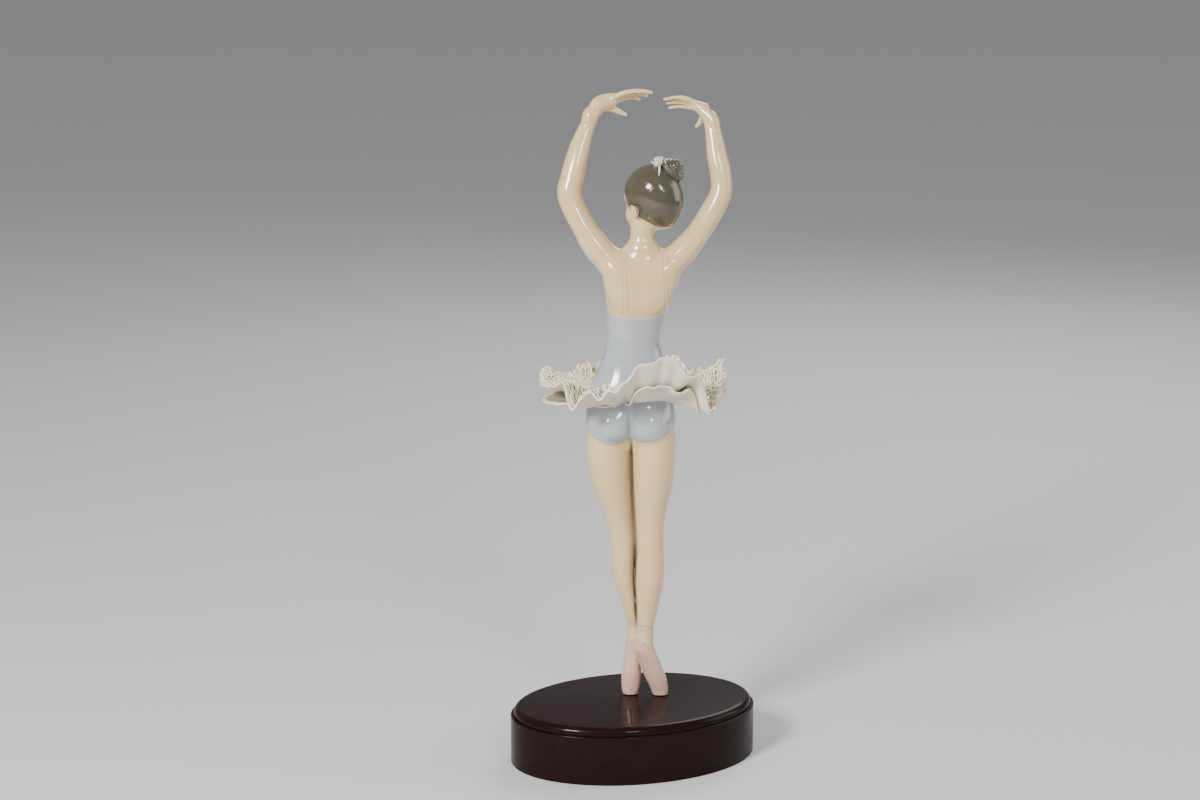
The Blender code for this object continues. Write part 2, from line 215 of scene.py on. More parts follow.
def porcelainHair():
    # Glazed porcelain with a taupe glaze, brushed along the hair in fine streaks that meet at the bun
    made, tree, shader = newMaterial("glazed_porcelain_hair", glaze["finish"])
    sides = [addNode(tree, "ShaderNodeAttribute", attribute_name=name) for name in ("strandA", "strandB")]
    spot = addNode(tree, "ShaderNodeCombineXYZ", {"X": sides[0].outputs["Fac"], "Y": sides[1].outputs["Fac"]})
    sockets = {"Vector": spot.outputs["Vector"], "Scale": 16, "Detail": 3}
    streaks = addNode(tree, "ShaderNodeTexNoise", sockets).outputs["Fac"]
    sockets = {0: streaks, 6: shaded(glaze["hair"], 0.72), 7: shaded(glaze["hair"], 1.12)}
    mix = addNode(tree, "ShaderNodeMix", sockets, data_type="RGBA")
    tree.links.new(mix.outputs[2], shader.inputs["Base Color"])
    relief = addNode(tree, "ShaderNodeBump", {"Height": streaks, "Distance": 0.0004, "Strength": 0.35})
    tree.links.new(relief.outputs["Normal"], shader.inputs["Normal"])
    return made


bisqueTints = {
    "skirt": "#ede2cc",
    "underSkirt": "#b6b9bb",
    "underLace": "#a39a87",
    "lace": "#f7eac8",
    "flower": "#f8e6dc",
}


def bisque(name, code, roughness=0.62):
    # Bisque porcelain: unglazed and matt, faintly grainy
    made, tree, shader = newMaterial(name, {"Base Color": colour(code), "Roughness": roughness})
    grain = addNode(tree, "ShaderNodeTexNoise", {"Vector": place(tree), "Scale": 2600, "Detail": 2})
    sockets = {"Height": grain.outputs["Fac"], "Distance": 0.00012, "Strength": 0.35}
    relief = addNode(tree, "ShaderNodeBump", sockets)
    tree.links.new(relief.outputs["Normal"], shader.inputs["Normal"])
    return made


def bisqueSkirt():
    # The same bisque, with the leotard's blue-grey run a little way under the skirt from the hips, and duller
    # where the lace's threads shade it
    made = bisque("bisque_porcelain_skirt", bisqueTints["skirt"])
    tree = made.node_tree
    tint = painted(tree, "under", colour(bisqueTints["skirt"]), colour(bisqueTints["underSkirt"]), 7, 8)
    tint = painted(tree, "cover", tint, colour(bisqueTints["underLace"]), 0.03)
    tree.links.new(tint, tree.nodes["Principled BSDF"].inputs["Base Color"])
    return made


lacquer = {
    "dark": "#0d0605",
    "red": "#260f10",
    "finish": {
        "Roughness": 0.3,
        "IOR": 1.3,
        "Specular IOR Level": 0.12,
        "Coat Weight": 0.18,
        "Coat Roughness": 0.05,
        "Coat IOR": 1.4,
    },
}


def lacqueredWood():
    # Lacquered mahogany: almost black red-brown with straight faint grain under a smooth gloss
    made, tree, shader = newMaterial("lacquered_mahogany", lacquer["finish"])
    sockets = {"Vector": place(tree, (12, 160, 160)), "Scale": 1.6, "Detail": 6}
    grain = addNode(tree, "ShaderNodeTexNoise", sockets)
    sockets = {0: grain.outputs["Fac"], 6: colour(lacquer["dark"]), 7: colour(lacquer["red"])}
    mix = addNode(tree, "ShaderNodeMix", sockets, data_type="RGBA")
    tree.links.new(mix.outputs[2], shader.inputs["Base Color"])
    return made


materials = {
    "skin": porcelainSkin(),
    "face": porcelainFace(),
    "hair": porcelainHair(),
    "skirt": bisqueSkirt(),
    "lace": bisque("bisque_porcelain_lace", bisqueTints["lace"], 0.7),
    "flower": bisque("bisque_porcelain_flower", bisqueTints["flower"], 0.6),
    "wood": lacqueredWood(),
}


def dress(made, material):
    # Gives a piece its material and the body that it rides on
    made.data.materials.append(materials[material])
    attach(made, "root")
    return made


# Solid forms, as fields that are below zero inside


def smoothStep(low, high, value):
    # 0 at low, 1 at high, and between them three squares less two cubes of the share
    share = np.clip((value - low) / (high - low), 0, 1)
    return share * share * (3 - 2 * share)


def smoothCurve(knots, values, t, ease=0.12):
    # A natural cubic spline through values that are first eased towards their neighbours
    n = len(knots)
    second = np.zeros((n, n))
    for i in range(1, n - 1):
        second[i, i - 1 : i + 2] = (1, -2, 1)
    eased = np.linalg.solve(np.eye(n) + ease * second.T @ second, values)
    h = np.diff(knots)
    system = np.eye(n)
    right = np.zeros(eased.shape)
    for i in range(1, n - 1):
        system[i, i - 1 : i + 2] = (h[i - 1], 2 * (h[i - 1] + h[i]), h[i])
        right[i] = 6 * ((eased[i + 1] - eased[i]) / h[i] - (eased[i] - eased[i - 1]) / h[i - 1])
    bend = np.linalg.solve(system, right)
    i = np.clip(np.searchsorted(knots, t) - 1, 0, n - 2)
    a, b, width = knots[i + 1] - t, t - knots[i], h[i]
    columns = []
    for column in range(eased.shape[1]):
        y, m = eased[:, column], bend[:, column]
        columns.append(
            (m[i] * a**3 + m[i + 1] * b**3) / (6 * width)
            + (y[i] / width - m[i] * width / 6) * a
            + (y[i + 1] / width - m[i + 1] * width / 6) * b
        )
    return columns


def curveThrough(rows, at, ease=0.05):
    # A smooth curve through rows of a place and a value
    knots, values = np.array(rows, float).T
    return smoothCurve(knots, values[:, None], at, ease)[0]


def between(rows, at):
    # Straight lines through rows of a place and a value
    return np.interp(at, *np.array(rows, float).T)


def newForm(distance, blend, low, high, way=1):
    # A form's field, how wide it blends with what is there, its box, and way -1 where it is carved out
    return {"distance": distance, "blend": blend, "low": low, "high": high, "way": way}


def ovalShell(u, v, w, ru, rv, rw):
    # How far a point lies from an ellipsoid: its scaled radius less one, over that radius's slope
    u, v, w = u / ru, v / rv, w / rw
    scaled = np.sqrt(u * u + v * v + w * w)
    slope = np.sqrt((u / ru) ** 2 + (v / rv) ** 2 + (w / rw) ** 2)
    return (scaled - 1) * (scaled + 1e-4) / (slope + 1e-4 / np.minimum(ru, rv))


def limb(stations, blend, way="z", dome=(0.8, 0.8), ease=0.12):
    # A tube along one axis. A station is its centre x, y and z, then its half width and half depth
    rows = np.array(sorted(stations, key=lambda row: row[2 if way == "z" else 0]), float)
    order = (2, 0, 1, 3, 4) if way == "z" else (0, 1, 2, 4, 3)
    knots, curves = rows[:, order[0]], rows[:, order[1:]]
    reach = rows[:, 3:].max()
    domes = [dome[0] * rows[0, 3:].min(), dome[1] * rows[-1, 3:].min()]

    def distance(x, y, z):
        along, a, b = (z, x, y) if way == "z" else (x, y, z)
        t = np.clip(along, knots[0], knots[-1])
        cu, cv, ru, rv = smoothCurve(knots, curves, t, ease)
        end = np.where(along < knots[0], domes[0], domes[1])
        return ovalShell(a - cu, b - cv, along - t, ru, rv, end)

    return newForm(distance, blend, rows[:, :3].min(0) - reach, rows[:, :3].max(0) + reach)


def turnedBy(x, y, z):
    # The rotation by degrees about x, then y, then z
    turns = [Matrix.Rotation(math.radians(angle), 3, axis) for angle, axis in ((z, "Z"), (y, "Y"), (x, "X"))]
    return turns[0] @ turns[1] @ turns[2]


def ball(centre, sizes, blend, turn=(0, 0, 0), way=1):
    # An ellipsoid
    spin = np.array(turnedBy(*turn))
    reach = max(sizes) if any(turn) else np.array(sizes)

    def distance(x, y, z):
        x, y, z = x - centre[0], y - centre[1], z - centre[2]
        if any(turn):
            x, y, z = (spin[0, i] * x + spin[1, i] * y + spin[2, i] * z for i in range(3))
        return ovalShell(x, y, z, *sizes)

    return newForm(distance, blend, np.array(centre) - reach, np.array(centre) + reach, way)


def tube(points, blend, way=1, steps=4):
    # A round tube along a smooth curve through points of x, y, z and radius, as a run of straight pieces
    rows = np.array(points, float)
    spans = np.concatenate(([0], np.cumsum(np.linalg.norm(np.diff(rows[:, :3], axis=0), axis=1))))
    t = np.linspace(0, spans[-1], steps * (len(rows) - 1) + 1)
    fine = np.stack(smoothCurve(spans, rows, t, 0.0), axis=1) if len(rows) > 2 else rows
    reach = fine[:, 3].max()

    def distance(x, y, z):
        nearest = None
        for a, b in zip(fine, fine[1:]):
            d = b - a
            share = ((x - a[0]) * d[0] + (y - a[1]) * d[1] + (z - a[2]) * d[2]) / (d[:3] @ d[:3])
            share = np.clip(share, 0, 1)
            gaps = [v - a[i] - share * d[i] for i, v in enumerate((x, y, z))]
            gap = np.sqrt(gaps[0] ** 2 + gaps[1] ** 2 + gaps[2] ** 2) - a[3] - share * d[3]
            nearest = gap if nearest is None else np.minimum(nearest, gap)
        return nearest

    return newForm(distance, blend, fine[:, :3].min(0) - reach, fine[:, :3].max(0) + reach, way)


def group(forms, blend):
    # Forms that are blended with each other first, and then as one with the rest
    low = np.min([form["low"] for form in forms], axis=0)
    high = np.max([form["high"] for form in forms], axis=0)

    def distance(x, y, z):
        if x.ndim == 3:
            return fieldOnGrid(forms, (x.ravel(), y.ravel(), z.ravel()))
        return fieldAt(forms, np.stack((x, y, z), axis=1))

    return newForm(distance, blend, low, high)


def blended(a, b, form):
    # The lower of two fields, rounded over the blend width. A carved form gives the higher of a and minus b.
    k = max(form["blend"], 1e-3)
    if form["way"] < 0:
        a = -a
    h = np.clip(0.5 + 0.5 * (b - a) / k, 0, 1)
    found = b + (a - b) * h - k * h * (1 - h)
    return -found if form["way"] < 0 else found


farAway = 40.0  # parts, what a field says where no form is near
boxMargin = 5


def crossed(axes):
    # The three axes of a grid, shaped so that they combine
    return axes[0][:, None, None], axes[1][None, :, None], axes[2][None, None, :]


def fieldOnGrid(forms, axes):
    # Each form is added in its own box alone, where it can change the field
    field = np.full([len(axis) for axis in axes], farAway, np.float32)
    for form in forms:
        reach = form["blend"] + boxMargin
        box = tuple(
            slice(*np.searchsorted(axis, (low - reach, high + reach)))
            for axis, low, high in zip(axes, form["low"], form["high"])
        )
        if all(side.stop > side.start for side in box):
            x, y, z = crossed([axis[side] for axis, side in zip(axes, box)])
            field[box] = blended(field[box], form["distance"](x, y, z), form)
    return field


def fieldAt(forms, points):
    # The same at single points
    field = np.full(len(points), farAway)
    for form in forms:
        reach = form["blend"] + boxMargin
        near = np.all((points > form["low"] - reach) & (points < form["high"] + reach), axis=1)
        x, y, z = points[near].T
        field[near] = blended(field[near], form["distance"](x, y, z), form)
    return field


def slopeAt(field, points, step=0.3):
    # The field's change over a step to either side along each axis
    sides = [(field(points + axis) - field(points - axis)) / (2 * step) for axis in np.eye(3) * step]
    return np.stack(sides, axis=1)


def skinGrid(values, axes):
    # Surface nets: each cell that the surface crosses gives a point, the mean of its edges' crossings, and
    # each crossed grid edge gives the quad of the four cells round it.
    inside = values < 0
    corners = list(product((0, 1), repeat=3))
    shape = np.array(values.shape) - 1

    def corner(array, at):
        return array[tuple(slice(a, a + n) for a, n in zip(at, shape))]

    filled = sum(corner(inside, at).astype(np.uint8) for at in corners)
    cells = np.argwhere((filled > 0) & (filled < 8))
    total, count = np.zeros((len(cells), 3)), np.zeros(len(cells))
    for a in corners:
        for axis in range(3):
            if a[axis] == 0:
                b = tuple(v + (i == axis) for i, v in enumerate(a))
                va, vb = values[tuple((cells + a).T)], values[tuple((cells + b).T)]
                changed = (va < 0) != (vb < 0)
                share = np.where(changed, va / np.where(changed, va - vb, 1), 0)
                spot = np.array(a) + share[:, None] * np.eye(3)[axis]
                total += np.where(changed[:, None], spot, 0)
                count += changed
    spots = cells + total / count[:, None]
    first = np.array([axis[0] for axis in axes])
    size = np.array([axis[1] - axis[0] for axis in axes])
    points = first + spots * size
    index = np.full(shape, -1)
    index[tuple(cells.T)] = np.arange(len(cells))
    quads = []
    for axis in range(3):
        one, two = (axis + 1) % 3, (axis + 2) % 3
        here = [slice(1, -1)] * 3
        here[axis] = slice(0, -1)
        ahead = list(here)
        ahead[axis] = slice(1, None)
        low, high = inside[tuple(here)], inside[tuple(ahead)]
        at = np.argwhere(low != high) + [0 if i == axis else 1 for i in range(3)]
        stepOne, stepTwo = np.eye(3, dtype=int)[one], np.eye(3, dtype=int)[two]
        ring = [index[tuple((at - s).T)] for s in (stepOne + stepTwo, stepTwo, 0 * stepOne, stepOne)]
        quad = np.stack(ring, axis=1)
        outward = inside[tuple(at.T)]
        quad[~outward] = quad[~outward][:, ::-1]
        quads.append(quad)
    return points, np.concatenate(quads)


def edgesOf(quads):
    # Both ends of every side of every quad
    return np.concatenate([quads[:, [i, (i + 1) % 4]] for i in range(4)])


def neighbourSums(edges, values):
    # For each point, the sum of a row of values over the other ends of its quads' sides
    a, b, n = edges[:, 0], edges[:, 1], len(values)
    sums = [np.bincount(a, column[b], n) + np.bincount(b, column[a], n) for column in values.T]
    return np.stack(sums, axis=1)


def relaxed(points, quads, field, rounds):
    # Moves each point towards its neighbours' mean along the surface, then back onto the surface
    edges = edgesOf(quads)
    count = neighbourSums(edges, np.ones((len(points), 1)))
    size = np.linalg.norm(points[edges[:, 0]] - points[edges[:, 1]], axis=1).mean()
    for turn in range(rounds + 1):
        for repeat in range(2):
            slope = slopeAt(field, points)
            steep = (slope**2).sum(1) + 1e-6
            step = (field(points) / steep)[:, None] * slope
            far = np.linalg.norm(step, axis=1) + 1e-9
            points = points - step * np.minimum(1, 0.6 * size / far)[:, None]
        normal = slope / np.sqrt(steep)[:, None]
        if turn == rounds:
            return points, normal
        shift = neighbourSums(edges, points) / count - points
        points = points + 0.5 * (shift - (shift * normal).sum(1)[:, None] * normal)


def softened(normals, quads, rounds):
    # Each normal becomes the mean of its own and its neighbours', over and over
    edges = edgesOf(quads)
    for repeat in range(rounds):
        normals = normals + neighbourSums(edges, normals) / 8
        normals = normals / np.linalg.norm(normals, axis=1)[:, None]
    return normals


# The dancer's body
body = {
    "torsoGrain": 0.88,  # millimetres
    "legGrain": 0.82,
    "headGrain": 0.46,
    "hipCut": 512,  # where the legs' piece takes over, hidden under the skirt
    "neckCut": 770,  # where the head's piece takes over, hidden inside the neck
    "wristCut": 938,
    "soleCut": 0.2,
    "overlap": 8,  # how far the pieces run into each other
    "sink": 0.06,  # how much lower a piece lies beside its cut, per part of length
    "neckReach": 45,  # how far to either side the neck's cut goes
    "headMiddle": -15,
    "headReach": 62,
}
torsoStations = (
    (16, 2, 440, 40, 24), (16, 3, 455, 64, 34), (17.5, 4, 475, 69, 42), (17, 3, 501, 69, 42),
    (16, 0, 528, 65, 39), (14.5, -3, 554, 54.5, 35), (12.7, -5, 580, 45.3, 32), (12.5, -6, 600, 42.5, 31),
    (10.8, -6, 622, 45.2, 32.5), (6.8, -5, 647, 49.5, 35.5), (4.7, -3, 672, 53.4, 37.5),
    (2.5, -2, 698, 57, 36), (0, -1, 716, 56, 31), (0, 0, 732, 46, 25), (-1, 1, 746, 30, 20),
)
leftLegStations = (
    (47.9, 3, 500, 30, 33), (49.9, 3, 476, 35, 37), (53.9, 2, 438, 36, 39), (53.9, 1, 409, 36, 39.5),
    (51.4, 0, 382, 34, 38), (46.9, -1, 355, 31, 35), (40.4, -3, 328, 26.5, 30.5), (35.4, -5, 302, 22.5, 26),
    (30.4, -7, 275, 21, 24), (27.4, -7, 248, 19.5, 23.5), (27.9, -6, 220, 19.5, 24),
    (24.9, -7, 193, 18, 22), (18.9, -9, 166, 15.5, 18.5), (13.4, -11, 139, 13, 15.5),
    (9.9, -13, 116, 10.5, 13), (9.4, -14, 98, 10.5, 13),
)
rightLegStations = (
    (-13.9, 4, 500, 30, 33), (-17.9, 4, 476, 35, 37), (-21.9, 4, 438, 36, 39.5), (-21.4, 4, 409, 35.5, 40),
    (-20.9, 4, 382, 34.5, 38), (-19.9, 4, 355, 32, 35), (-17.4, 4, 328, 27.5, 31),
    (-14.9, 5, 302, 24.5, 27), (-15.9, 6, 275, 22.5, 25), (-15.4, 8, 248, 22.5, 25.5),
    (-15.4, 10, 220, 24.5, 27.5), (-14.4, 11, 193, 23.5, 25.5), (-12.4, 11, 166, 19.5, 21),
    (-9.9, 11, 139, 16, 17), (-8.4, 11, 118, 13.5, 14.5), (-8.4, 11, 102, 12.5, 14),
)
leftFootStations = (
    (8.5, -14, 108, 10.5, 12.5), (9.5, -13, 90, 12.5, 16), (11, -11, 70, 14.5, 16.5),
    (13, -8, 50, 15.5, 15), (14.5, -5, 30, 16.5, 13.5), (15.5, -4, 16, 15.5, 12), (15.8, -3, 5, 13.5, 10.5),
    (15.8, -3, 0, 12.5, 9.5),
)
rightFootStations = (
    (-7, 11, 112, 12.5, 13.5), (-5.5, 13, 93, 15, 16), (-8.5, 13, 78, 17.5, 16), (-15, 10, 60, 18, 14),
    (-22, 7, 42, 18, 13), (-28, 4, 26, 17, 12.5), (-31.5, 2, 14, 15.5, 11.5), (-33.5, 1, 5, 13.5, 10.5),
    (-34, 1, 0, 12.5, 9.5),
)
leftArmStations = (
    (34, -1, 704, 22, 23), (49, -2, 722, 28, 25), (60, -2, 738, 30, 25), (69, -3, 751, 28.5, 24.5),
    (78, -4, 764, 26, 23.5), (87, -6, 777, 23.5, 22), (95, -8, 789, 22.5, 21), (101.5, -10, 801, 22, 20.5),
    (108, -12, 814, 21.5, 19.5), (113.5, -14, 827, 20.5, 19), (115.5, -15, 839, 20, 18.5),
    (113.5, -18, 852, 20, 18.5), (109.5, -21, 865, 19.5, 18.5), (107, -23, 878, 19, 18),
    (104, -26, 890, 18.5, 17), (101, -28, 902, 17.5, 16), (97, -31, 915, 16.5, 14.5),
    (92.5, -34, 928, 15, 13), (87.5, -37, 940, 13.5, 11.5), (83.5, -38, 949, 12.5, 10.5),
    (80.5, -39.5, 957, 12.5, 10.5), (76.5, -41, 966, 12.5, 10), (71, -42, 974, 11.5, 9.5),
)
rightArmStations = (
    (-34, -1, 704, 22, 23), (-49, -2, 722, 28, 25), (-60, -2, 738, 30, 25), (-70, -3, 751, 27.5, 24.5),
    (-82, -4, 764, 25, 23.5), (-93, -6, 777, 23.5, 22), (-100.5, -8, 789, 22.5, 21),
    (-108.5, -10, 801, 22, 20.5), (-116, -12, 814, 21, 19.5), (-123, -14, 827, 19.5, 19),
    (-127.5, -15, 839, 18, 18.5), (-128.5, -18, 852, 17, 18.5), (-127, -21, 865, 17.5, 18.5),
    (-125, -23, 878, 17.5, 18), (-122.5, -26, 890, 17, 17), (-120, -28, 902, 16, 16),
    (-118, -31, 915, 15, 14.5), (-116, -34, 928, 13.5, 13), (-113.5, -37, 940, 12.5, 11.5),
    (-111.5, -38, 949, 12, 10.5), (-108.5, -40, 957, 12, 10), (-103.5, -43, 964, 11.5, 9.5),
    (-98, -45, 969, 10, 8.5),
)
neckStations = (
    (-1, 0, 722, 23, 20), (-1, 0, 740, 20.5, 19), (-1, -1, 758, 19, 18.5), (-1, -3, 776, 19, 18.5),
    (-3, -6, 794, 19.5, 19), (-6, -9, 812, 20, 20),
)
legGapStations = (
    (12, -3, 150, 4, 5), (11, -3, 220, 4, 5), (9, -2, 280, 4, 6), (13, -2, 340, 5, 8), (16, -2, 400, 5, 10),
    (16, 0, 436, 6, 12),
)
leftLeg = group([limb(leftLegStations, 0), limb(leftFootStations, 7, dome=(0.6, 0.6)),
                 ball((46, 17, 466), (35, 39, 36), 9), ball((9.5, -4, 90), (8.5, 8, 10), 7),
                 ball((28, -28, 292), (13, 7, 15), 12)], 0)
rightLeg = group([limb(rightLegStations, 0), limb(rightFootStations, 7, dome=(0.6, 0.6)),
                  ball((-13, 17, 466), (35, 39, 36), 9), ball((-1.5, 20, 88), (9.5, 8.5, 11), 7),
                  ball((-14, -18, 292), (13, 7, 15), 12)], 1.4)
bodyForms = [
    group([leftLeg, rightLeg], 0),
    limb(legGapStations, 1),
    limb(torsoStations, 14),
    ball((16.5, 56, 452), (2.6, 17, 34), 9, (0, 0, 0), -1),
    ball((27, -22, 669), (24, 22, 27), 12),
    ball((-14, -22, 669), (24, 22, 27), 12),
    ball((31, 21, 690), (23, 11, 36), 20, (0, 16, 0)),
    ball((-28, 21, 690), (23, 11, 36), 20, (0, -16, 0)),
    limb(leftArmStations, 18),
    limb(rightArmStations, 18),
    limb(neckStations, 13),
    ball((30, 3, 727), (24, 12, 9), 12, (0, -22, 0)),
    ball((-32, 3, 727), (24, 12, 9), 12, (0, 22, 0)),
    tube(((8, -22, 731, 2.2), (26, -22, 732, 2.4), (44, -17, 735, 2.2)), 7),
    tube(((-10, -22, 731, 2.2), (-28, -22, 732, 2.4), (-46, -17, 735, 2.2)), 7),
    tube(((9, 47, 572, 1), (8.5, 38.5, 605, 1), (7, 41, 645, 1), (4, 44, 680, 1), (2, 52, 712, 1)), 14, -1),
]


# The head, in its own frame: x to her left, y forward and z up from the middle of the skull
pose = {
    "place": (-15, -4, 833),
    "pitch": 11.0,
    "roll": 8.0,
    "yaw": 47.0,
    "scale": 1.04,
}
headSpin = np.array(turnedBy(pose["pitch"], pose["roll"], pose["yaw"]) @ Matrix.Diagonal((1, -1, 1)))


def outOfHeadFrame(points):
    # Turns, scales and moves points of the head's frame to the dancer's
    return points @ headSpin.T * pose["scale"] + pose["place"]


def toHead(points):
    # And back
    return (points - pose["place"]) @ headSpin / pose["scale"]


def axesToHead(x, y, z):
    # The same way back for a grid's axes
    x, y, z = ((v - p) / pose["scale"] for v, p in zip((x, y, z), pose["place"]))
    return [headSpin[0, i] * x + headSpin[1, i] * y + headSpin[2, i] * z for i in range(3)]


def inHead(form):
    # The same form, placed with the head
    sides = product(("low", "high"), repeat=3)
    corners = outOfHeadFrame(np.array([[form[side][i] for i, side in enumerate(row)] for row in sides]))

    def distance(x, y, z):
        return form["distance"](*axesToHead(x, y, z)) * pose["scale"]

    return {**form, "distance": distance, "low": corners.min(0), "high": corners.max(0)}


def mirrored(make):
    # A form for either side of the face
    return [make(side) for side in (1, -1)]


skull = {
    "centre": (0, -5.5, 5.5),
    "sizes": (38.2, 44.8, 41.2),
}
skullForms = [
    ball(skull["centre"], skull["sizes"], 6),
    ball((0, -20, -12), (31.8, 29.8, 31.8), 10),
    ball((0, -14, -31), (23, 22.5, 23), 10),
    ball((0, 11, -17), (32, 30, 34), 10),
    ball((0, 15, -37), (22, 22, 16), 9),
    ball((0, 30, 7), (22, 9, 8), 10),
]
faceForms = [
    ball((0, 29, -48), (9.5, 9, 7.5), 10),
    *mirrored(lambda s: ball((19 * s, 25, -23), (13, 13, 14), 10)),
    *mirrored(lambda s: ball((14.5 * s, 43, -5), (8, 6, 5), 6, way=-1)),
    *mirrored(lambda s: ball((14.5 * s, 30.5, -6), (8.5, 8, 6.5), 2.5)),
    tube(((0, 37.5, 3, 3), (0, 40.5, -6, 3), (0, 44.5, -16, 3.2), (0, 46.8, -21.5, 3.5)), 5),
    ball((0, 46.5, -22), (3.6, 3.6, 3.3), 2),
    *mirrored(lambda s: ball((4.3 * s, 42.3, -23.3), (2.7, 3.8, 2.5), 2.5)),
    ball((0, 37, -34), (9, 6.5, 6.5), 5),
    tube(((-8, 38, -34.3, 0.8), (-3, 42.3, -32.7, 1.6), (0, 42.6, -33.2, 1.5), (3, 42.3, -32.7, 1.6),
          (8, 38, -34.3, 0.8)), 1.8),
    tube(((-6.5, 38.3, -35.6, 0.9), (0, 41.6, -36.8, 2.1), (6.5, 38.3, -35.6, 0.9)), 1.8),
    tube(((-8.5, 38, -34.9, 0.2), (0, 43.6, -34.9, 0.3), (8.5, 38, -34.9, 0.2)), 1.0, way=-1),
]
earForms = [form for side in (1, -1) for form in (
    ball((38 * side, 4, -16), (3, 6.5, 9.5), 2, (12, 0, -20 * side)),
    tube(((39 * side, 8.5, -14, 1.4), (40.5 * side, 8, -9, 1.6), (42.5 * side, 4, -6, 1.9),
          (43.5 * side, -1.5, -9, 1.9), (43 * side, -2.5, -16, 1.7), (41 * side, 1, -22, 2),
          (39 * side, 5.5, -23, 2.3)), 1.6),
    ball((43.5 * side, 3.7, -14), (1.9, 3.0, 5.2), 1.8, (12, 0, -20 * side), -1),
)]
headForms = [inHead(form) for form in skullForms + faceForms + earForms]
hairShape = {
    "thickness": 1.8,
    "edge": 1.6,
    "grain": 0.48,  # millimetres
}
hairForms = [limb(neckStations, 0), *(inHead(form) for form in skullForms)]
hairFront = (  # how far forward the hair grows, as rows of z and y in the head's frame
    (-60, 2), (-34, 5), (-26, 9), (-18, 14), (-10, 18.5), (-2, 22), (14, 25.5), (28, 28.5), (60, 29),
)
hairBelow = (  # and how far down, as rows of y and z
    (-60, -52), (-40, -51), (-26, -50), (-14, -44), (-4, -33), (4, -25), (20, -22),
)


def hairline(x, y, z):
    # Below zero where hair grows, from the head's own coordinates, with the corner behind the ear rounded
    front = y - between(hairFront, z)
    below = between(hairBelow, y) - z
    gap = np.clip(6 - np.abs(front - below), 0, 6)
    return np.maximum(front, below) * 0.82 + gap * gap / 30


def hairShell(line, skin):
    # The higher of the hairline's field and the raised skull's, rounded over the edge
    k = hairShape["edge"]
    h = np.clip(0.5 - 0.5 * (line - skin) / k, 0, 1)
    return line + (skin - line) * h + k * h * (1 - h)


def hairField(points):
    return hairShell(hairline(*toHead(points).T), fieldAt(hairForms, points) - hairShape["thickness"])


# The hands: stations of the palms are x, y, z, half height, half depth, and of the fingers x, y, z, radius
leftPalm = (
    (84, -38, 957, 12, 10.5), (78, -41, 967, 14.5, 10), (70, -43, 974, 15, 9.5), (57, -46, 979, 13, 8.5),
    (43, -48, 983, 10, 7),
)
rightPalm = (
    (-113, -38, 948, 11, 10.5), (-109, -41, 956, 13, 10), (-102, -45, 962, 12, 9), (-94, -48, 968, 10, 8),
    (-84, -49, 974, 8, 7),
)
leftDigits = (
    ((44, -46, 985.5, 5.6), (28, -44, 993.5, 5.1), (13, -45, 996, 4.6), (0, -46, 996.5, 4.3),
     (-16, -48, 993.5, 3.6)),
    ((44, -50, 983, 5.6), (26, -51, 990, 5.1), (12, -53, 991.5, 4.6), (2, -54, 990.5, 4.2),
     (-9, -55, 988, 3.6)),
    ((44, -53, 979, 5.4), (28, -58, 984, 5), (18, -61, 985, 4.5), (11, -62, 984, 4.1), (3, -63, 981.5, 3.5)),
    ((46, -43, 985, 5), (31, -38, 993, 4.6), (20, -37, 996, 4.2), (11, -38, 996.5, 3.8), (2, -39, 995, 3.3)),
    ((68, -48, 970, 9), (55, -54, 970, 7.8), (44, -56, 966, 6.4), (35, -57, 962, 5.6), (25, -58, 957.5, 4.4)),
)
rightDigits = (
    ((-88, -47, 975, 5.6), (-72, -45, 982, 5.1), (-58, -46, 984.5, 4.6), (-48, -47, 984.5, 4.2),
     (-37, -48, 983, 3.6)),
    ((-88, -51, 972, 5.6), (-73, -52, 977, 5.1), (-60, -54, 978.5, 4.6), (-51, -55, 978, 4.1),
     (-42, -56, 976, 3.5)),
    ((-89, -54, 968, 5.4), (-77, -57, 970, 4.9), (-66, -61, 970.5, 4.4), (-56, -62, 970, 4),
     (-46, -63, 968, 3.4)),
    ((-87, -44, 976, 5), (-73, -40, 984, 4.6), (-63, -38, 986.5, 4.2), (-55, -39, 987, 3.7),
     (-47, -40, 986, 3.2)),
    ((-105, -46, 958, 9), (-99, -52, 953, 7.4), (-96, -55, 948, 6.2), (-93, -56, 943.5, 5.4),
     (-89, -57, 939, 4.3)),
)
hands = {
    "knuckle": 0.88,  # shares of the radii above
    "tip": 0.66,
    "grain": 0.45,  # millimetres
}


def finger(digit):
    # A tube whose radii thin from the knuckle to the tip
    rows = np.array(digit, float)
    rows[:, 3] *= np.linspace(hands["knuckle"], hands["tip"], len(rows))
    return tube(rows, 2.6)


leftHand = [limb(leftPalm, 11, "x"), *(finger(digit) for digit in leftDigits)]
rightHand = [limb(rightPalm, 11, "x"), *(finger(digit) for digit in rightDigits)]
bodyForms += leftHand + rightHand


def outOfTorso(x, y, z):
    # How far a point of the body's piece is past where the head's, hands' and legs' pieces take over
    neck = np.where(np.abs(x + 2) < body["neckReach"], z - body["neckCut"], -300)
    return np.maximum(np.maximum(z - body["wristCut"], neck), body["hipCut"] - body["overlap"] - z)


def outOfLegs(x, y, z):
    # The same for the legs' piece, and below for the head's and the hands'
    return np.maximum(z - body["hipCut"] + 0 * x, body["soleCut"] - z)


def outOfHead(x, y, z):
    side = np.abs(x - body["headMiddle"]) - body["headReach"]
    return np.maximum(body["neckCut"] - body["overlap"] - z, side)


def outOfHand(x, y, z):
    return body["wristCut"] - body["overlap"] - z + 0 * x


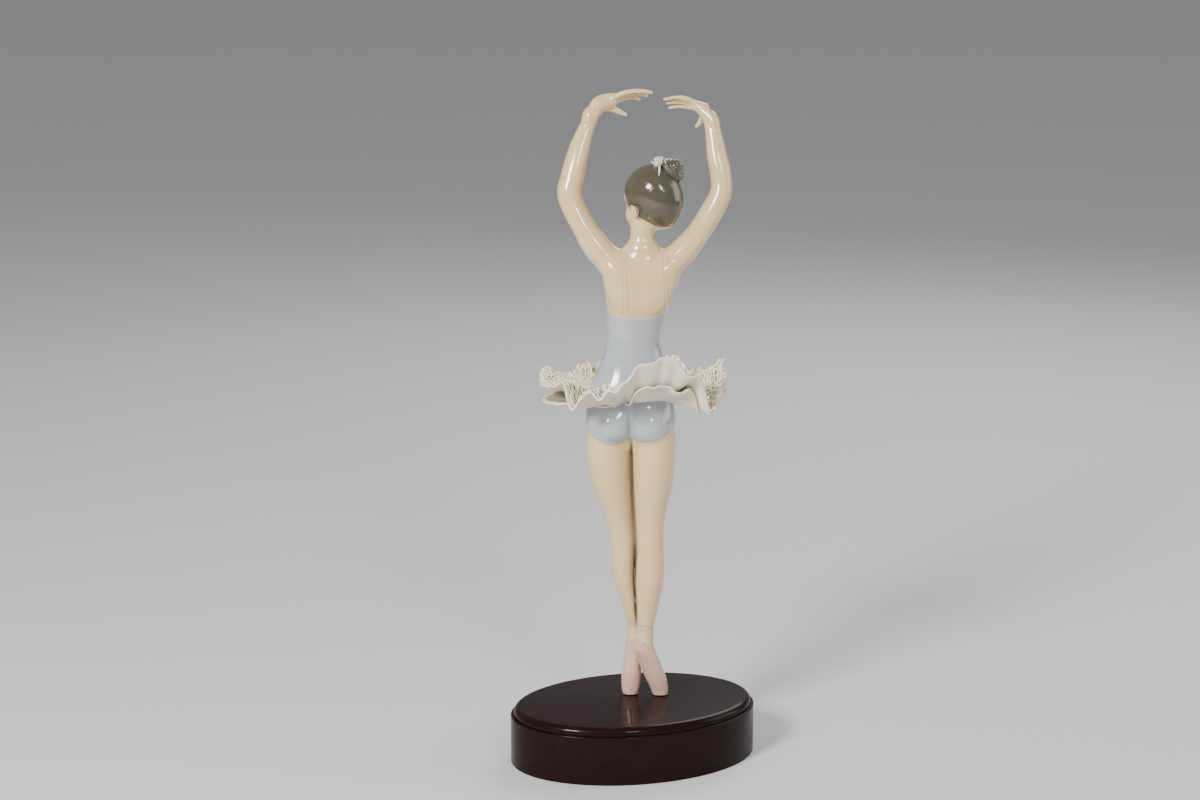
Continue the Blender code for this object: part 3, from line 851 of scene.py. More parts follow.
def trimmed(values, past, z):
    # A form ends at its cut, and above the feet it sinks a little beside it where the next piece covers it
    sunk = np.clip(past + body["overlap"] / 2, 0, None) * np.where(z < 20, 0, body["sink"])
    return np.maximum(values + sunk, past)


def castPiece(forms, beyond, low, high, grain, rounds=3, soft=0):
    # The skin of the forms in a box, as points, quads and normals, without what is beyond the cuts. Beside a
    # cut the normals are the uncut forms' own, so that two pieces shade alike. Further off they are softened.
    step = grain * millimetre
    axes = [np.arange(a, b + step, step) for a, b in zip(low, high)]
    x, y, z = crossed(axes)
    values = fieldOnGrid(forms, axes)
    points, quads = skinGrid(trimmed(values, beyond(x, y, z) + 0 * values, z), axes)

    def field(at):
        return trimmed(fieldAt(forms, at), beyond(*at.T), at[:, 2])

    points, normals = relaxed(points, quads, field, rounds)
    plain = slopeAt(lambda at: fieldAt(forms, at), points)
    plain /= np.linalg.norm(plain, axis=1)[:, None] + 1e-9
    near = fieldAt(forms, points) > -0.6
    normals = np.where(near[:, None], plain, normals)
    share = smoothStep(-10, -34, beyond(*points.T))[:, None]
    return points, quads, normals + (softened(normals, quads, soft) - normals) * share


def putFigure(name, points, quads, normals, paint, material="skin"):
    made = putMesh(name, ontoPlinth(points), quads, turned(normals), paint)
    return dress(made, material)


# Where the leotard's edges run on her back and seat, as rows of x and z
neckLine = (
    (-90, 688), (-60, 668), (-50, 655), (-42, 648.5), (-30, 643.5), (-14, 640.5), (2, 639.5), (22, 639),
    (42, 643), (57, 652), (70, 672), (90, 690),
)
legLine = (
    (-60, 474), (-50, 460), (-40, 452), (-30, 446), (-14, 441.5), (0, 441), (13, 443), (21, 443), (34, 438),
    (47, 435), (58, 437.5), (67, 442), (78, 448), (88, 457), (98, 474),
)
creaseLine = (  # where glaze pools and shade is painted between the legs, as rows of z and x
    (100, 5), (139, 7), (166, 8), (200, 10), (248, 8), (302, 11), (355, 14), (440, 16),
)
toMillimetres = part * 1000
costume = {
    "chest": 690,  # the leotard's edge in front, in parts like all below
    "chestMiddle": 6,
    "cupRise": 6.5,
    "chestDip": 4,
    "gusset": 431,
    "gussetMiddle": 17.5,
    "hip": 500,  # how high the leg's opening goes in front
    "strapTop": 752,
    "shoeTop": 50,
    "heelTop": 44,  # above the shoe's top
    "ribbons": (125, 118.5),
    "ribbonHalf": 1.3,
    "soleMiddle": 53,
    "soleHalf": 43,
    "soleShare": 0.66,  # of the foot's width
}
blank = {"leotard": 5.0, "strap": 12.0, "foot": 5.0, "sole": 9.0, "above": 1.0, "pool": 0.0}  # bare skin


def leotardGlaze(x, y, z):
    # On the trunk, above the legs' line and below the neck's line, which in front are the gusset and the cups
    dx = x - costume["chestMiddle"]
    cups = costume["cupRise"] * np.exp(-(((np.abs(dx) - 23) / 15) ** 2))
    chest = costume["chest"] + cups - costume["chestDip"] * np.exp(-((dx / 8) ** 2))
    back = curveThrough(neckLine, x)
    top = back + (chest - back) * smoothStep(12, -8, y)
    low = curveThrough(legLine, x)
    front = np.minimum(costume["gusset"] + 1.05 * np.abs(x - costume["gussetMiddle"]), costume["hip"])
    bottom = low + (front - low) * smoothStep(12, -16, y)
    arm = np.where(np.abs(x - 5) > 62, z - 560, -999)
    leotard = np.maximum(np.maximum((z - top) * 0.5, (bottom - z) * 0.9), arm)
    centre = np.where(x > 0, 25 + (z - 640) * 0.03, -41 + (z - 650) * 0.04)
    strap = np.where(np.abs(x - centre) < blank["strap"], x - centre, blank["strap"])
    shown = (z > top - 1) & (z < costume["strapTop"]) & (np.abs(y) > 5)
    return leotard, np.where(shown, strap, blank["strap"])


def shoeGlaze(x, y, z):
    # Each point belongs to the foot whose middle line is nearer. A shoe's edge slants up to the heel, two
    # ribbons go round the ankle, and an oval sole lies behind.
    feet = [np.array(rows[::-1], float) for rows in (leftFootStations, rightFootStations)]
    away = [np.hypot(*(v - np.interp(z, run[:, 2], run[:, i]) for i, v in enumerate((x, y)))) for run in feet]
    right = away[1] < away[0]
    behind = smoothStep(-8, 10, y - np.where(right, 12, -12))
    heel = costume["heelTop"] + np.where(right, 0.78 * (x + 7), -0.3 * (x - 10))
    shoe = z - (costume["shoeTop"] + heel * behind)
    slant = np.where(right, 0.08 * (x + 8), 0.05 * (x - 10))
    upper, lower = costume["ribbons"]
    ribbon = np.minimum(np.abs(z - upper - slant), np.abs(z - lower + slant)) - costume["ribbonHalf"]
    sole = np.full(len(x), blank["sole"])
    for run, side in zip(feet, (~right, right)):
        middle, depth, half = (np.interp(z, run[:, 2], run[:, i]) for i in (0, 1, 3))
        half = costume["soleShare"] * half
        oval = (np.hypot((x - middle) / half, (z - costume["soleMiddle"]) / costume["soleHalf"]) - 1) * half
        sole = np.where(side & (y > depth) & (z < 100), oval, sole)
    return np.minimum(shoe, ribbon), sole


def bodyGlazes(points):
    # Each glaze but the pooled glaze and painted shade between the legs, and what is above the waist, is a
    # distance in millimetres, below zero inside it
    x, y, z = points.T
    leotard, strap = leotardGlaze(x, y, z)
    foot, sole = shoeGlaze(x, y, z)
    glazes = {"leotard": leotard, "strap": strap, "foot": foot, "sole": sole}
    glazes = {name: distance * toMillimetres for name, distance in glazes.items()}
    # Darker in the crease between the legs: pooled glaze, and painted shade where the legs shade each other
    crease = smoothStep(4.5, 1.0, np.abs(x - between(creaseLine, z)))
    crease = crease * smoothStep(446, 438, z) * smoothStep(110, 150, z)
    glazes["pool"] = crease * smoothStep(38, 24, y) * smoothStep(-40, -26, y)
    glazes["above"] = smoothStep(550, 560, z)
    return glazes


print("casting the body")
torsoHigh = (142, 66, body["wristCut"] + 4)
torsoParts = castPiece(bodyForms, outOfTorso, (-152, -64, 500), torsoHigh, body["torsoGrain"], soft=36)
torso = putFigure("dancer_torso", *torsoParts, bodyGlazes(torsoParts[0]))
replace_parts(torso, "ballerina")
print("torso faces", len(torsoParts[1]))
legParts = castPiece(bodyForms, outOfLegs, (-64, -64, -2), (100, 70, 516), body["legGrain"], soft=8)
putFigure("dancer_legs", *legParts, bodyGlazes(legParts[0]))
print("legs faces", len(legParts[1]))


def headGlazes(points):
    # Painted lips, and one line each for the lashes and the brow, kept to the front of the face
    x, y, z = toHead(points).T
    ahead = np.where(y > 15, 0, 50)
    side = np.abs(x)
    lips = np.maximum(side - 8.5, np.abs(z + 35 + 0.01 * side**2) - (3.1 - 0.33 * side)) + ahead
    lash = np.abs(z + 8.5 - 0.035 * (side - 14.5) ** 2) - 0.5 + np.maximum(np.abs(side - 14.5) - 6.5, 0)
    brow = np.abs(z - 5 + 0.03 * (side - 16) ** 2) - 0.75 + np.maximum(np.abs(side - 15.5) - 7, 0)
    return {"lips": lips * toMillimetres, "lash": (np.minimum(lash, brow) + ahead) * toMillimetres}


print("casting the head")
headBox = (-76, -66, 758), (48, 60, 900)
headParts = castPiece(bodyForms + headForms, outOfHead, *headBox, body["headGrain"], 2)
putFigure("dancer_head", *headParts, headGlazes(headParts[0]), "face")
print("head faces", len(headParts[1]))
print("casting the hands")
for name, low, high in (
    ("dancer_left_hand", (-25, -72, 926), (106, -14, 1004)),
    ("dancer_right_hand", (-136, -72, 926), (-28, -14, 996)),
):
    handParts = castPiece(bodyForms, outOfHand, low, high, hands["grain"], 2)
    count = len(handParts[0])
    putFigure(name, *handParts, {glazeName: np.full(count, value) for glazeName, value in blank.items()})
    print(name, "faces", len(handParts[1]))
print("casting the hair")
step = hairShape["grain"] * millimetre
hairAxes = [np.arange(a, b, step) for a, b in zip((-76, -58, 772), (46, 62, 900))]
hairSkin = fieldOnGrid(hairForms, hairAxes) - hairShape["thickness"]
hairValues = hairShell(hairline(*axesToHead(*crossed(hairAxes))), hairSkin)
hairPoints, hairQuads = skinGrid(hairValues, hairAxes)
hairPoints, hairNormals = relaxed(hairPoints, hairQuads, hairField, 2)
bun = {
    "place": (-16, -37, 30.5),  # its place, axis and a direction across it are in the head's own frame
    "axis": (-0.45, -0.72, 0.53),
    "across": (-0.848, 0.53, 0.0),
    "locks": 3,
    "turns": 1.3,
    "radius": 13.5,
    "stretch": 1.35,
    "lockRadius": 6.8,
    "height": 17,
    "ridges": 7,
    "ridgeDepth": 0.05,
    "twist": 0.12,
}
bunAxis, sideways = np.array(bun["axis"]), np.array(bun["across"])
other = np.cross(bunAxis, sideways)
fromBun = toHead(hairPoints) - bun["place"]
turnRound = np.stack((fromBun @ sideways, fromBun @ other), axis=1)
turnRound /= np.linalg.norm(turnRound, axis=1)[:, None] + 1e-6
strands = {"strandA": turnRound[:, 0], "strandB": turnRound[:, 1]}
putFigure("dancer_hair", hairPoints, hairQuads, hairNormals, strands, "hair")
print("hair faces", len(hairQuads))


def sweep(paths, radii, sides, twist=0.0, ridges=0, ridgeDepth=0.0):
    # Closed tubes, one along each path. Paths has tubes, steps and x y z, and radii has tubes and steps.
    # A point stands at the path's point plus the radius times the cosine and sine of its turn, along two
    # directions square to the path. Both ends close in a point.
    tubes, steps, _ = paths.shape
    ahead = np.gradient(paths, axis=1)
    ahead /= np.linalg.norm(ahead, axis=2, keepdims=True) + 1e-9
    one = np.cross(ahead, np.broadcast_to((0.31, 0.22, 0.92), ahead.shape))
    one /= np.linalg.norm(one, axis=2, keepdims=True) + 1e-9
    two = np.cross(ahead, one)
    turns = np.arange(sides) / sides * math.tau
    roll = (np.arange(steps)[:, None] * twist + turns)[None, :, :, None]
    radius = radii[:, :, None] * (1 + ridgeDepth * np.cos(ridges * turns))
    circle = np.cos(roll) * one[:, :, None] + np.sin(roll) * two[:, :, None]
    rings = paths[:, :, None] + radius[..., None] * circle
    ends = paths[:, [0, -1]] + ahead[:, [0, -1]] * radii[:, [0, -1], None] * np.array((-0.7, 0.7))[:, None]
    points = np.concatenate((rings.reshape(tubes, -1, 3), ends), axis=1)
    count = steps * sides
    s = np.arange(sides)
    n = (s + 1) % sides
    first = np.stack((s, n, np.full(sides, count)), axis=1)
    last = np.stack((count - sides + n, count - sides + s, np.full(sides, count + 1)), axis=1)
    start = (np.arange(tubes) * (count + 2))[:, None, None]
    quads = (start + gridFaces(steps, sides)[:, ::-1]).reshape(-1, 4)
    tips = (start + np.concatenate((first, last))).reshape(-1, 3)
    return points.reshape(-1, 3), quads.tolist() + tips.tolist()


# Bun: locks wound round its axis, each a tube along a spiral whose radius shrinks as it climbs
share = np.linspace(0, 1, 60)
lock = np.arange(bun["locks"])[:, None] / bun["locks"]
angle = math.tau * (bun["turns"] * share + lock)
radius = bun["radius"] * (1 - 0.8 * share**1.2)
bunPaths = (bun["place"] + sideways * (radius * np.cos(angle))[..., None]
            + other * (radius * bun["stretch"] * np.sin(angle))[..., None]
            + bunAxis * (bun["height"] * share)[:, None])
bunPaths = outOfHeadFrame(bunPaths)
bunRadii = bun["lockRadius"] * (1 - 0.25 * share) * np.sqrt(np.clip(share * 8, 0.2, 1))
bunRadii = np.broadcast_to(bunRadii, bunPaths.shape[:2])
bunPoints, bunFaces = sweep(bunPaths, bunRadii, 28, bun["twist"], bun["ridges"], bun["ridgeDepth"])
strands = {"strandA": np.cos(bunPoints[:, 2] * 0.8), "strandB": np.sin(bunPoints[:, 0] * 0.8)}
dress(putMesh("dancer_bun", ontoPlinth(bunPoints), bunFaces, paint=strands), "hair")

# Skirt: sheets of bisque porcelain, each read as height over angle and over the share from hips to rim
skirt = {
    "upperRoot": 510,  # how high the tiers leave the hips
    "lowerRoot": 506,
    "rootWidth": 56,
    "rootDepth": 34,
    "centre": (15, 2),
    "columns": 600,
    "rows": 20,
    "rowPower": 0.9,
    "rim": 0.75,  # half thickness at the rim, millimetres
    "root": 1.2,
    "sag": 11,  # how far the root dips, about the angle of the next
    "sagAngle": 62,
    "steepHeights": (548, 585),  # where the rim is up here, the sheet stands steeper
}
upperRim = (  # rows of degrees and height, and for the radii of degrees and radius
    (0, 547), (5, 536), (12, 532), (20, 534), (30, 538), (37, 545), (42, 551), (46, 526), (50, 509),
    (55, 523), (60, 539), (64, 540), (68, 529), (72, 537), (76, 546), (80, 544), (84, 558), (88, 566),
    (91, 579), (95, 589), (99, 588), (102, 588), (107, 596), (112, 593), (116, 589), (120, 585), (124, 568),
    (132, 562), (137, 552), (141, 535), (146, 508), (150, 493), (155, 501), (162, 528), (168, 536),
    (173, 512), (177, 508), (181, 548), (188, 551), (196, 526), (204, 541), (212, 522), (220, 538),
    (228, 520), (236, 536), (244, 519), (252, 534), (260, 518), (268, 533), (276, 518), (284, 533),
    (292, 515), (299, 520), (306, 515), (313, 524), (320, 518), (327, 528), (333, 524), (340, 541),
    (346, 542), (353, 549),
)
lowerRim = (
    (0, 508), (10, 507), (20, 507), (30, 510), (38, 510), (46, 504), (60, 499), (74, 501), (82, 505),
    (87, 510), (90, 526), (94, 543), (99, 548), (105, 547), (112, 549), (119, 541), (125, 533), (131, 538),
    (138, 530), (145, 505), (152, 495), (160, 505), (170, 516), (180, 508), (200, 516), (212, 506),
    (224, 516), (236, 506), (248, 515), (260, 506), (272, 515), (284, 506), (296, 515), (308, 506),
    (320, 514), (335, 508), (350, 511),
)


def roundCurve(stations, angles):
    # A curve through the stations, by degrees, that closes on itself
    rows = np.array(stations, float)
    return curveThrough(np.concatenate((rows[-4:] - (360, 0), rows, rows[:4] + (360, 0))), angles, 0.02)


def sheetMiddle(angles, shares, stations, rootHeight, radii):
    # Across and back run from the hips' oval to the rim's circle. Up is the root's height, plus the rim's
    # smoothed climb by a power of the share, plus the flute's rise over it by a steeper power.
    rim = roundCurve(stations, angles)
    near = np.abs((angles[:, None] - angles[None, :] + 180) % 360 - 180)
    weight = np.exp(-((near / 14) ** 2))
    soft = (weight * rim[None, :]).sum(1) / weight.sum(1)
    steep = smoothStep(*skirt["steepHeights"], soft)[None, :]
    v = shares[:, None]
    turn = np.radians(angles)[None, :]
    radius = roundCurve(radii, angles)[None, :]
    reach = v + steep * 0.16 * v * (1 - v)
    across = skirt["rootWidth"] + (radius - skirt["rootWidth"]) * reach
    back = skirt["rootDepth"] + (radius - skirt["rootDepth"]) * reach
    root = rootHeight - skirt["sag"] * np.exp(-(((angles - skirt["sagAngle"]) / 19) ** 2))
    climb = (soft - root)[None, :] * v ** (1.1 + 1.3 * steep)
    flute = (rim - soft)[None, :] * v**1.25
    flute = flute + 0.9 * v * np.sin(turn * 41 + 1.5 * np.sin(turn * 3))
    sway = 2.2 * v**2 * np.sin(turn * 9)
    x = skirt["centre"][0] + (across + sway) * np.cos(turn)
    y = skirt["centre"][1] + (back + sway) * np.sin(turn)
    return np.stack((x, y, root + climb + flute), axis=-1)


def sheet(name, stations, rootHeight, radii):
    # The middle sheet, moved out along its normal to either side, and a half round over the rim between them
    angles = np.arange(skirt["columns"]) / skirt["columns"] * 360
    shares = np.linspace(0, 1, skirt["rows"]) ** skirt["rowPower"]
    middle = sheetMiddle(angles, shares, stations, rootHeight, radii)
    out = np.gradient(middle, axis=0)
    along = np.roll(middle, -1, axis=1) - np.roll(middle, 1, axis=1)
    normal = np.cross(out, along)
    normal /= np.linalg.norm(normal, axis=2, keepdims=True)
    half = (skirt["root"] + (skirt["rim"] - skirt["root"]) * shares)[:, None, None] * millimetre
    outward = out[-1] / np.linalg.norm(out[-1], axis=1, keepdims=True)
    bend = np.linspace(0, math.pi, 9)[1:-1, None, None]
    rimRows = middle[-1] + half[-1] * (np.cos(bend) * normal[-1] + 1.1 * np.sin(bend) * outward)
    points = np.concatenate((middle + half * normal, rimRows, (middle - half * normal)[::-1]))
    rows = len(points)
    quads = gridFaces(rows, skirt["columns"], closeRows=True)
    if normal[0, 0, 2] < 0:
        quads = quads[:, ::-1]
    under = np.concatenate((np.full(len(shares) + len(bend), 40.0), shares[::-1] * 40))
    cover = np.concatenate((np.abs(shares - 0.55) - 0.4, np.full(rows - len(shares), 1.0)))
    run = 1.5 * np.sin(np.radians(angles * 11)) - 15 * np.exp(-(((angles - 84) / 7) ** 2))
    tint = {"under": np.repeat(under, skirt["columns"]) + np.tile(run, rows),
            "cover": np.repeat(cover, skirt["columns"])}
    dress(putMesh(name, ontoPlinth(points.reshape(-1, 3)), quads, paint=tint), "skirt")
    return middle, normal * np.sign(normal[0, 0, 2])


print("folding the skirt")
upperRadius = ((0, 146), (90, 147), (180, 146), (270, 146))
lowerRadius = (
    (0, 136), (10, 143), (28, 144), (36, 134), (44, 96), (52, 60), (62, 46), (76, 45), (84, 58), (88, 84),
    (92, 118), (97, 130), (110, 132), (130, 130), (150, 126), (180, 118), (250, 112), (310, 108),
    (335, 112), (350, 122),
)
upperMiddle, upperNormal = sheet("dancer_skirt_upper", upperRim, skirt["upperRoot"], upperRadius)
sheet("dancer_skirt_lower", lowerRim, skirt["lowerRoot"], lowerRadius)

# Lace: threads of porcelain on the skirt's upper side and standing from its rim
lace = {
    "rings": 930,
    "ringsAtEnds": 190,
    "ringsAtBack": 170,
    "inner": 62.0,  # how far out the rings lie
    "outer": 143.0,
    "ringSize": (2.3, 4.1),
    "radius": 1.12,
    "tuftRadius": 1.4,
    "tuftSteps": 9,
}
goldenTurn = 0.381966
chance = np.random.default_rng(7)


def onSheet(angles, shares, lift):
    # Points over the upper sheet, read between its grid's four nearest points
    rows, columns = upperMiddle.shape[:2]
    r = np.clip((shares ** (1 / skirt["rowPower"])) * (rows - 1), 0, rows - 1.001)
    c = (angles % 360) / 360 * columns
    r0, c0 = r.astype(int), c.astype(int) % columns
    fr, fc = (r - r0)[..., None], (c - np.floor(c))[..., None]
    c1 = (c0 + 1) % columns

    def read(grid):
        near = grid[r0, c0] * (1 - fc) + grid[r0, c1] * fc
        return near * (1 - fr) + (grid[r0 + 1, c0] * (1 - fc) + grid[r0 + 1, c1] * fc) * fr

    normal = read(upperNormal)
    normal /= np.linalg.norm(normal, axis=-1, keepdims=True)
    return read(upperMiddle) + normal * lift[..., None]


def laceNet(first, last, rings):
    # Rings of thread laid over the sheet like a sunflower's seeds: each turns by the golden angle from the
    # one before, and its distance out grows as the square root. A ring runs past one turn, so it closes.
    steps, column = 12, (rings, 1)
    inner, outer = lace["inner"], lace["outer"]
    k = np.arange(rings)[:, None]
    radius = np.sqrt(inner**2 + (outer**2 - inner**2) * (k + 0.5) / rings)
    angle = first + (k * goldenTurn % 1) * (last - first) + chance.normal(0, 0.5, column)
    turn = np.linspace(0, math.tau * 1.04, steps)[None, :] + chance.uniform(0, 6, column)
    size = chance.uniform(*lace["ringSize"], column)
    wide = chance.uniform(0.7, 1.3, column)
    angles = angle + np.degrees(size * wide * np.cos(turn) / radius)
    root = (skirt["rootWidth"] + skirt["rootDepth"]) / 2
    shares = (radius - root + size / wide * np.sin(turn)) / (upperRadius[0][1] - root)
    shares = np.clip(shares, 0.02, 0.985)
    tilt = chance.uniform(-2.4, 2.4, column) * np.cos(turn + chance.uniform(0, 6, column))
    lift = skirt["rim"] * millimetre + 0.5 + np.abs(tilt) + chance.uniform(0, 1.4, column)
    radii = np.full((rings, steps), lace["radius"]) * chance.uniform(0.8, 1.15, column)
    return sweep(onSheet(angles, shares, lift), radii, 6)


# First and last angle, threads, length, how steeply they rise, and the shares of the sheet where they start
tuftPlaces = (
    (112, 130, 38, 9, 2.2, 0.95, 0.98), (130, 146, 14, 7, 1.2, 0.92, 0.97),
    (148, 203, 70, 12, 0.35, 0.86, 0.95), (289, 309, 36, 15, 2.8, 0.88, 0.97),
    (309, 345, 26, 5, 0.9, 0.88, 0.94), (345, 368, 18, 4, 0.7, 0.9, 0.94),
    (202, 289, 76, 6, 0.6, 0.88, 0.94), (36, 84, 56, 12, 2.6, 0.1, 0.72), (10, 40, 14, 7, 1.5, 0.3, 0.6),
    (46, 64, 6, 26, 6, 0.08, 0.14),
)


def laceTufts():
    # A thread starts inside the rim, grows outward and up and curls as it goes. Two twigs fork from its
    # middle, each a shorter thread turned aside.
    rows = []
    for a, b, n, length, rise, inner, outer in tuftPlaces:
        angle = np.linspace(a, b, n) + chance.normal(0, 0.5, n)
        begin = chance.uniform(inner, outer, n)
        rows.append(np.stack((angle, np.full(n, length), np.full(n, rise), begin), axis=1))
    angle, length, rise, begin = (column[:, None] for column in np.concatenate(rows).T)
    length = length * chance.uniform(0.7, 1.1, length.shape)
    steps = lace["tuftSteps"]
    t = np.linspace(0, 1, steps)[None, :]
    start = onSheet(angle, begin, np.full_like(angle, 0.6))
    out = onSheet(angle, begin + 0.02, np.full_like(angle, 0.8)) - start
    out /= np.linalg.norm(out, axis=2, keepdims=True)
    side = np.stack((-np.sin(np.radians(angle)), np.cos(np.radians(angle)), 0 * angle), axis=2)
    up = np.array((0, 0, 1.0))

    def grow(root, lean, length, steep):
        # Each step's heading turns aside and upward as it goes, and the path is the running sum of the steps
        bend = lean + chance.normal(0, 0.75, angle.shape) * t**1.6 + 0.35 * np.sin(t * 7 + angle)
        climb = steep + chance.uniform(-0.4, 0.9, angle.shape) * t**2
        ahead = out * np.cos(bend)[..., None] + side * np.sin(bend)[..., None] + up * climb[..., None]
        ahead /= np.linalg.norm(ahead, axis=2, keepdims=True)
        return root + np.cumsum(ahead, axis=1) * (length / steps)[..., None]

    lean = np.radians(chance.normal(0, 14, angle.shape))
    steep = rise + chance.uniform(-0.25, 0.25, angle.shape)
    main = grow(start, lean, length + 5, steep)
    fork = main[:, 4:5]
    turn = np.radians(chance.uniform(40, 65, angle.shape))
    long = grow(fork, lean + turn, length * 0.5, steep + 0.2)
    short = grow(fork, lean - turn, length * 0.45, steep)
    paths = np.concatenate((main, long, short))
    knobs = 1 + 0.13 * np.sin(np.linspace(0, 9, steps)[None, :] + np.tile(angle, (3, 1)))
    return sweep(paths, lace["tuftRadius"] * knobs * chance.uniform(0.8, 1.05, (len(paths), 1)), 7)


print("laying the lace")
for name, (points, faces) in (
    ("dancer_lace_net", laceNet(0, 360, lace["rings"])),
    ("dancer_lace_left", laceNet(-38, 48, lace["ringsAtEnds"])),
    ("dancer_lace_right", laceNet(148, 208, lace["ringsAtEnds"])),
    ("dancer_lace_back", laceNet(74, 128, lace["ringsAtBack"])),
    ("dancer_lace_fringe", laceTufts()),
):
    dress(putMesh(name, ontoPlinth(points), faces), "lace")
    print(name, "faces", len(faces))

# Flower of thin petals in front of the bun, with a drooping stalk
flower = {
    "place": (-3.5, -28.5, 42.5),
    "petals": 40,
    "length": 15.5,
    "width": 2.1,
    "thickness": 0.4,
    "steps": 9,
    "stalk": (13, -39, 31),  # where it ends
    "stalkLift": 2.8,  # how far it lies off the skull
    "stalkRadii": (1.9, 0.6),
}


def petal(turn, tip):
    # Along the petal by share and across it by side: the width swells and narrows, the middle cups and curls,
    # and the thickness is round at the sides.
    ahead = np.array((math.cos(turn) * math.sin(tip), math.sin(turn) * math.sin(tip), math.cos(tip)))
    ahead += (0, -0.35, 0.15)
    ahead /= np.linalg.norm(ahead)
    across = np.cross(ahead, (0.2, 0.3, 0.9))
    across /= np.linalg.norm(across)
    thick = np.cross(ahead, across)
    steps = flower["steps"]
    share, side = np.meshgrid(np.linspace(0, 1, steps), np.linspace(-1, 1, steps), indexing="ij")
    width = flower["width"] * np.sin(math.pi * np.clip(share * 0.86 + 0.1, 0, 1)) ** 0.7
    rim = np.sqrt(np.clip(1 - side**2, 0, 1)) * np.sin(math.pi * np.clip(share, 0.02, 0.98)) ** 0.3
    rim = (flower["thickness"] * rim)[..., None] * thick
    middle = (share * flower["length"])[..., None] * ahead + (side * width)[..., None] * across
    middle = middle + (side**2 * share + 1.1 * np.sin(share * 5 + turn) * share)[..., None] * thick
    return np.concatenate((middle + rim, (middle - rim)[:, ::-1]), axis=1).reshape(-1, 3)


print("opening the flower")
petalTurns = chance.uniform(0, math.tau, flower["petals"])
petalTips = np.linspace(0.15, 1.35, flower["petals"])
petalPoints = [outOfHeadFrame(petal(*way) + flower["place"]) for way in zip(petalTurns, petalTips)]
rows, columns = flower["steps"], 2 * flower["steps"]
petalFaces = []
for first in range(0, flower["petals"] * rows * columns, rows * columns):
    petalFaces += (gridFaces(rows, columns) + first).tolist()
    end = first + rows * columns
    petalFaces += [list(range(first, first + columns))[::-1], list(range(end - columns, end))]
petals = putMesh("dancer_flower", ontoPlinth(np.concatenate(petalPoints)), petalFaces)
dress(petals, "flower")
share = np.linspace(0, 1, 14)[:, None]
lean = np.array((-3.2, 0.0, 2.6))[:, None, None] * np.array((0.62, 0.1, -0.77))
stalkEnd = np.array(flower["stalk"]) - flower["place"]
stalkPaths = np.array(flower["place"]) + share * stalkEnd + lean * np.sin(share * 2.6)
reach = (stalkPaths - skull["centre"]) / skull["sizes"]
reach /= np.linalg.norm(reach, axis=2, keepdims=True)
lifted = reach * (np.array(skull["sizes"]) + flower["stalkLift"])
thick, thin = flower["stalkRadii"]
stalkRadii = np.broadcast_to(thick + (thin - thick) * share[:, 0], stalkPaths.shape[:2])
stalkPoints, stalkFaces = sweep(outOfHeadFrame(lifted + skull["centre"]), stalkRadii, 12)
stalk = putMesh("dancer_flower_stalk", ontoPlinth(stalkPoints), stalkFaces)
dress(stalk, "flower")

# Plinth: an oval profile. A point is the oval's point moved inward along its normal, at the profile's height
plinth = {
    "sideHeight": 34.8,  # millimetres, like those below
    "capHeight": 5.8,
    "capInset": 2.2,
    "capRounding": 4.6,
    "footRounding": 0.8,
    "topRounding": 0.7,
    "columns": 320,
}


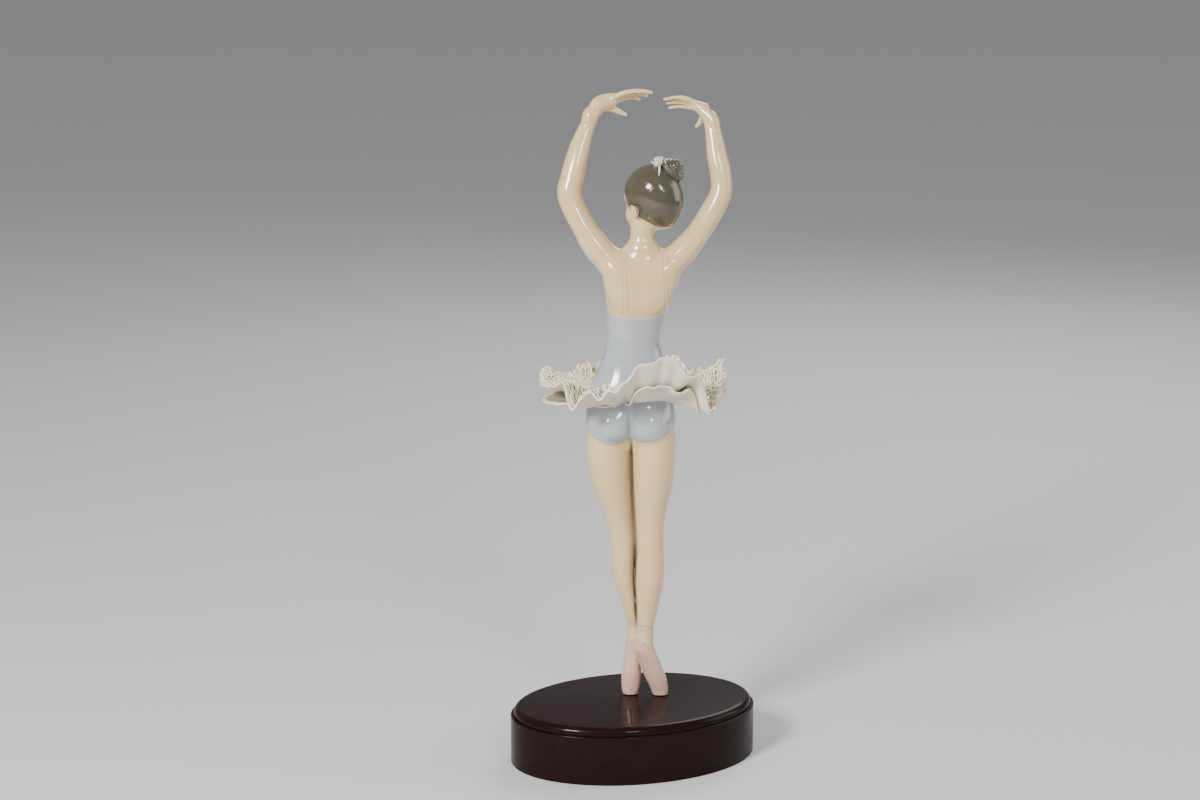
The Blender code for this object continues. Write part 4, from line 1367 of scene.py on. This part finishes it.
def ovalPlinth():
    # Each corner of the profile is a quarter round
    a, b = (plinthHigh.x - plinthLow.x) / 2, (plinthHigh.y - plinthLow.y) / 2
    r1, r2, r3 = plinth["footRounding"], plinth["topRounding"], plinth["capRounding"]
    side, cap, inset = plinth["sideHeight"], plinth["sideHeight"] + plinth["capHeight"], plinth["capInset"]
    q = np.linspace(0, math.pi / 2, 10)
    rows = [(r1 * (1 - math.sin(t)), r1 * (1 - math.cos(t))) for t in q]
    rows += [(r2 * (1 - math.cos(t)), side - r2 * (1 - math.sin(t))) for t in q]
    rows += [(inset, side), (inset, side + 0.3)]
    rows += [(inset + r3 * (1 - math.cos(t)), cap - r3 * (1 - math.sin(t))) for t in q]
    rows = np.array(rows) * 0.001
    turn = np.arange(plinth["columns"]) / plinth["columns"] * math.tau
    normal = np.stack((np.cos(turn) * b, np.sin(turn) * a), axis=1)
    normal /= np.linalg.norm(normal, axis=1, keepdims=True)
    oval = np.stack((np.cos(turn) * a, np.sin(turn) * b), axis=1)
    insets, heights = rows.T[:, :, None, None]
    flat = oval[None] - insets * normal[None]
    points = np.concatenate((flat, np.broadcast_to(heights, flat.shape[:2] + (1,))), axis=2)
    n, m = len(rows), plinth["columns"]
    faces = gridFaces(n, m).tolist() + [list(range(m))[::-1], list(range((n - 1) * m, n * m))]
    middle = np.array(((plinthLow.x + plinthHigh.x) / 2, (plinthLow.y + plinthHigh.y) / 2, plinthLow.z))
    return points.reshape(-1, 3) + middle, faces


print("turning the plinth")
base = putMesh("plinth_oval", *ovalPlinth())
base.data.set_sharp_from_angle(angle=math.radians(50))
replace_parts(dress(base, "wood"), "plinth")


# Floor, light and camera
studio = {
    "cameraPlace": (0.5561, 1.6066, 0.620),
    "cameraPitch": 12.0,
    "cameraYaw": 161.7,
    "viewAngle": 27.0,
    "floor": "#d9d8d6",
    "surround": "#e6e8ec",
    "surroundPower": 0.42,
    "lampsAim": (0, 0, 0.25),
    "lamps": (  # place, size and power
        ("key", (1.35, 1.0, 1.15), 0.45, 50),
        ("front", (0.0, 1.9, 1.3), 0.3, 10),
        ("side", (-1.4, 0.3, 0.7), 0.9, 7),
        ("behind", (-1.0, -1.25, 1.45), 1.0, 15),
    ),
}
print("lighting the studio")
bpy.ops.mesh.primitive_plane_add(size=80)
floor = bpy.context.object
floor.name = "floor"
floorFinish = {"Base Color": colour(studio["floor"]), "Roughness": 0.75}
floor.data.materials.append(newMaterial("matt_studio_floor", floorFinish)[0])
world = bpy.data.worlds.new("studio")
world.use_nodes = True
surround = world.node_tree.nodes["Background"].inputs
surround["Color"].default_value = colour(studio["surround"])
surround["Strength"].default_value = studio["surroundPower"]
bpy.context.scene.world = world
camera = bpy.data.objects.new("camera", bpy.data.cameras.new("camera"))
bpy.context.scene.collection.objects.link(camera)
camera.location = studio["cameraPlace"]
camera.rotation_euler = (math.radians(90 - studio["cameraPitch"]), 0, math.radians(studio["cameraYaw"]))
camera.data.angle = math.radians(studio["viewAngle"])
bpy.context.scene.camera = camera
for name, spot, size, power in studio["lamps"]:
    light = bpy.data.objects.new(name, bpy.data.lights.new(name, "AREA"))
    light.data.size = size
    light.data.energy = power
    light.location = spot
    light.rotation_euler = (Vector(studio["lampsAim"]) - light.location).to_track_quat("-Z", "Y").to_euler()
    bpy.context.scene.collection.objects.link(light)
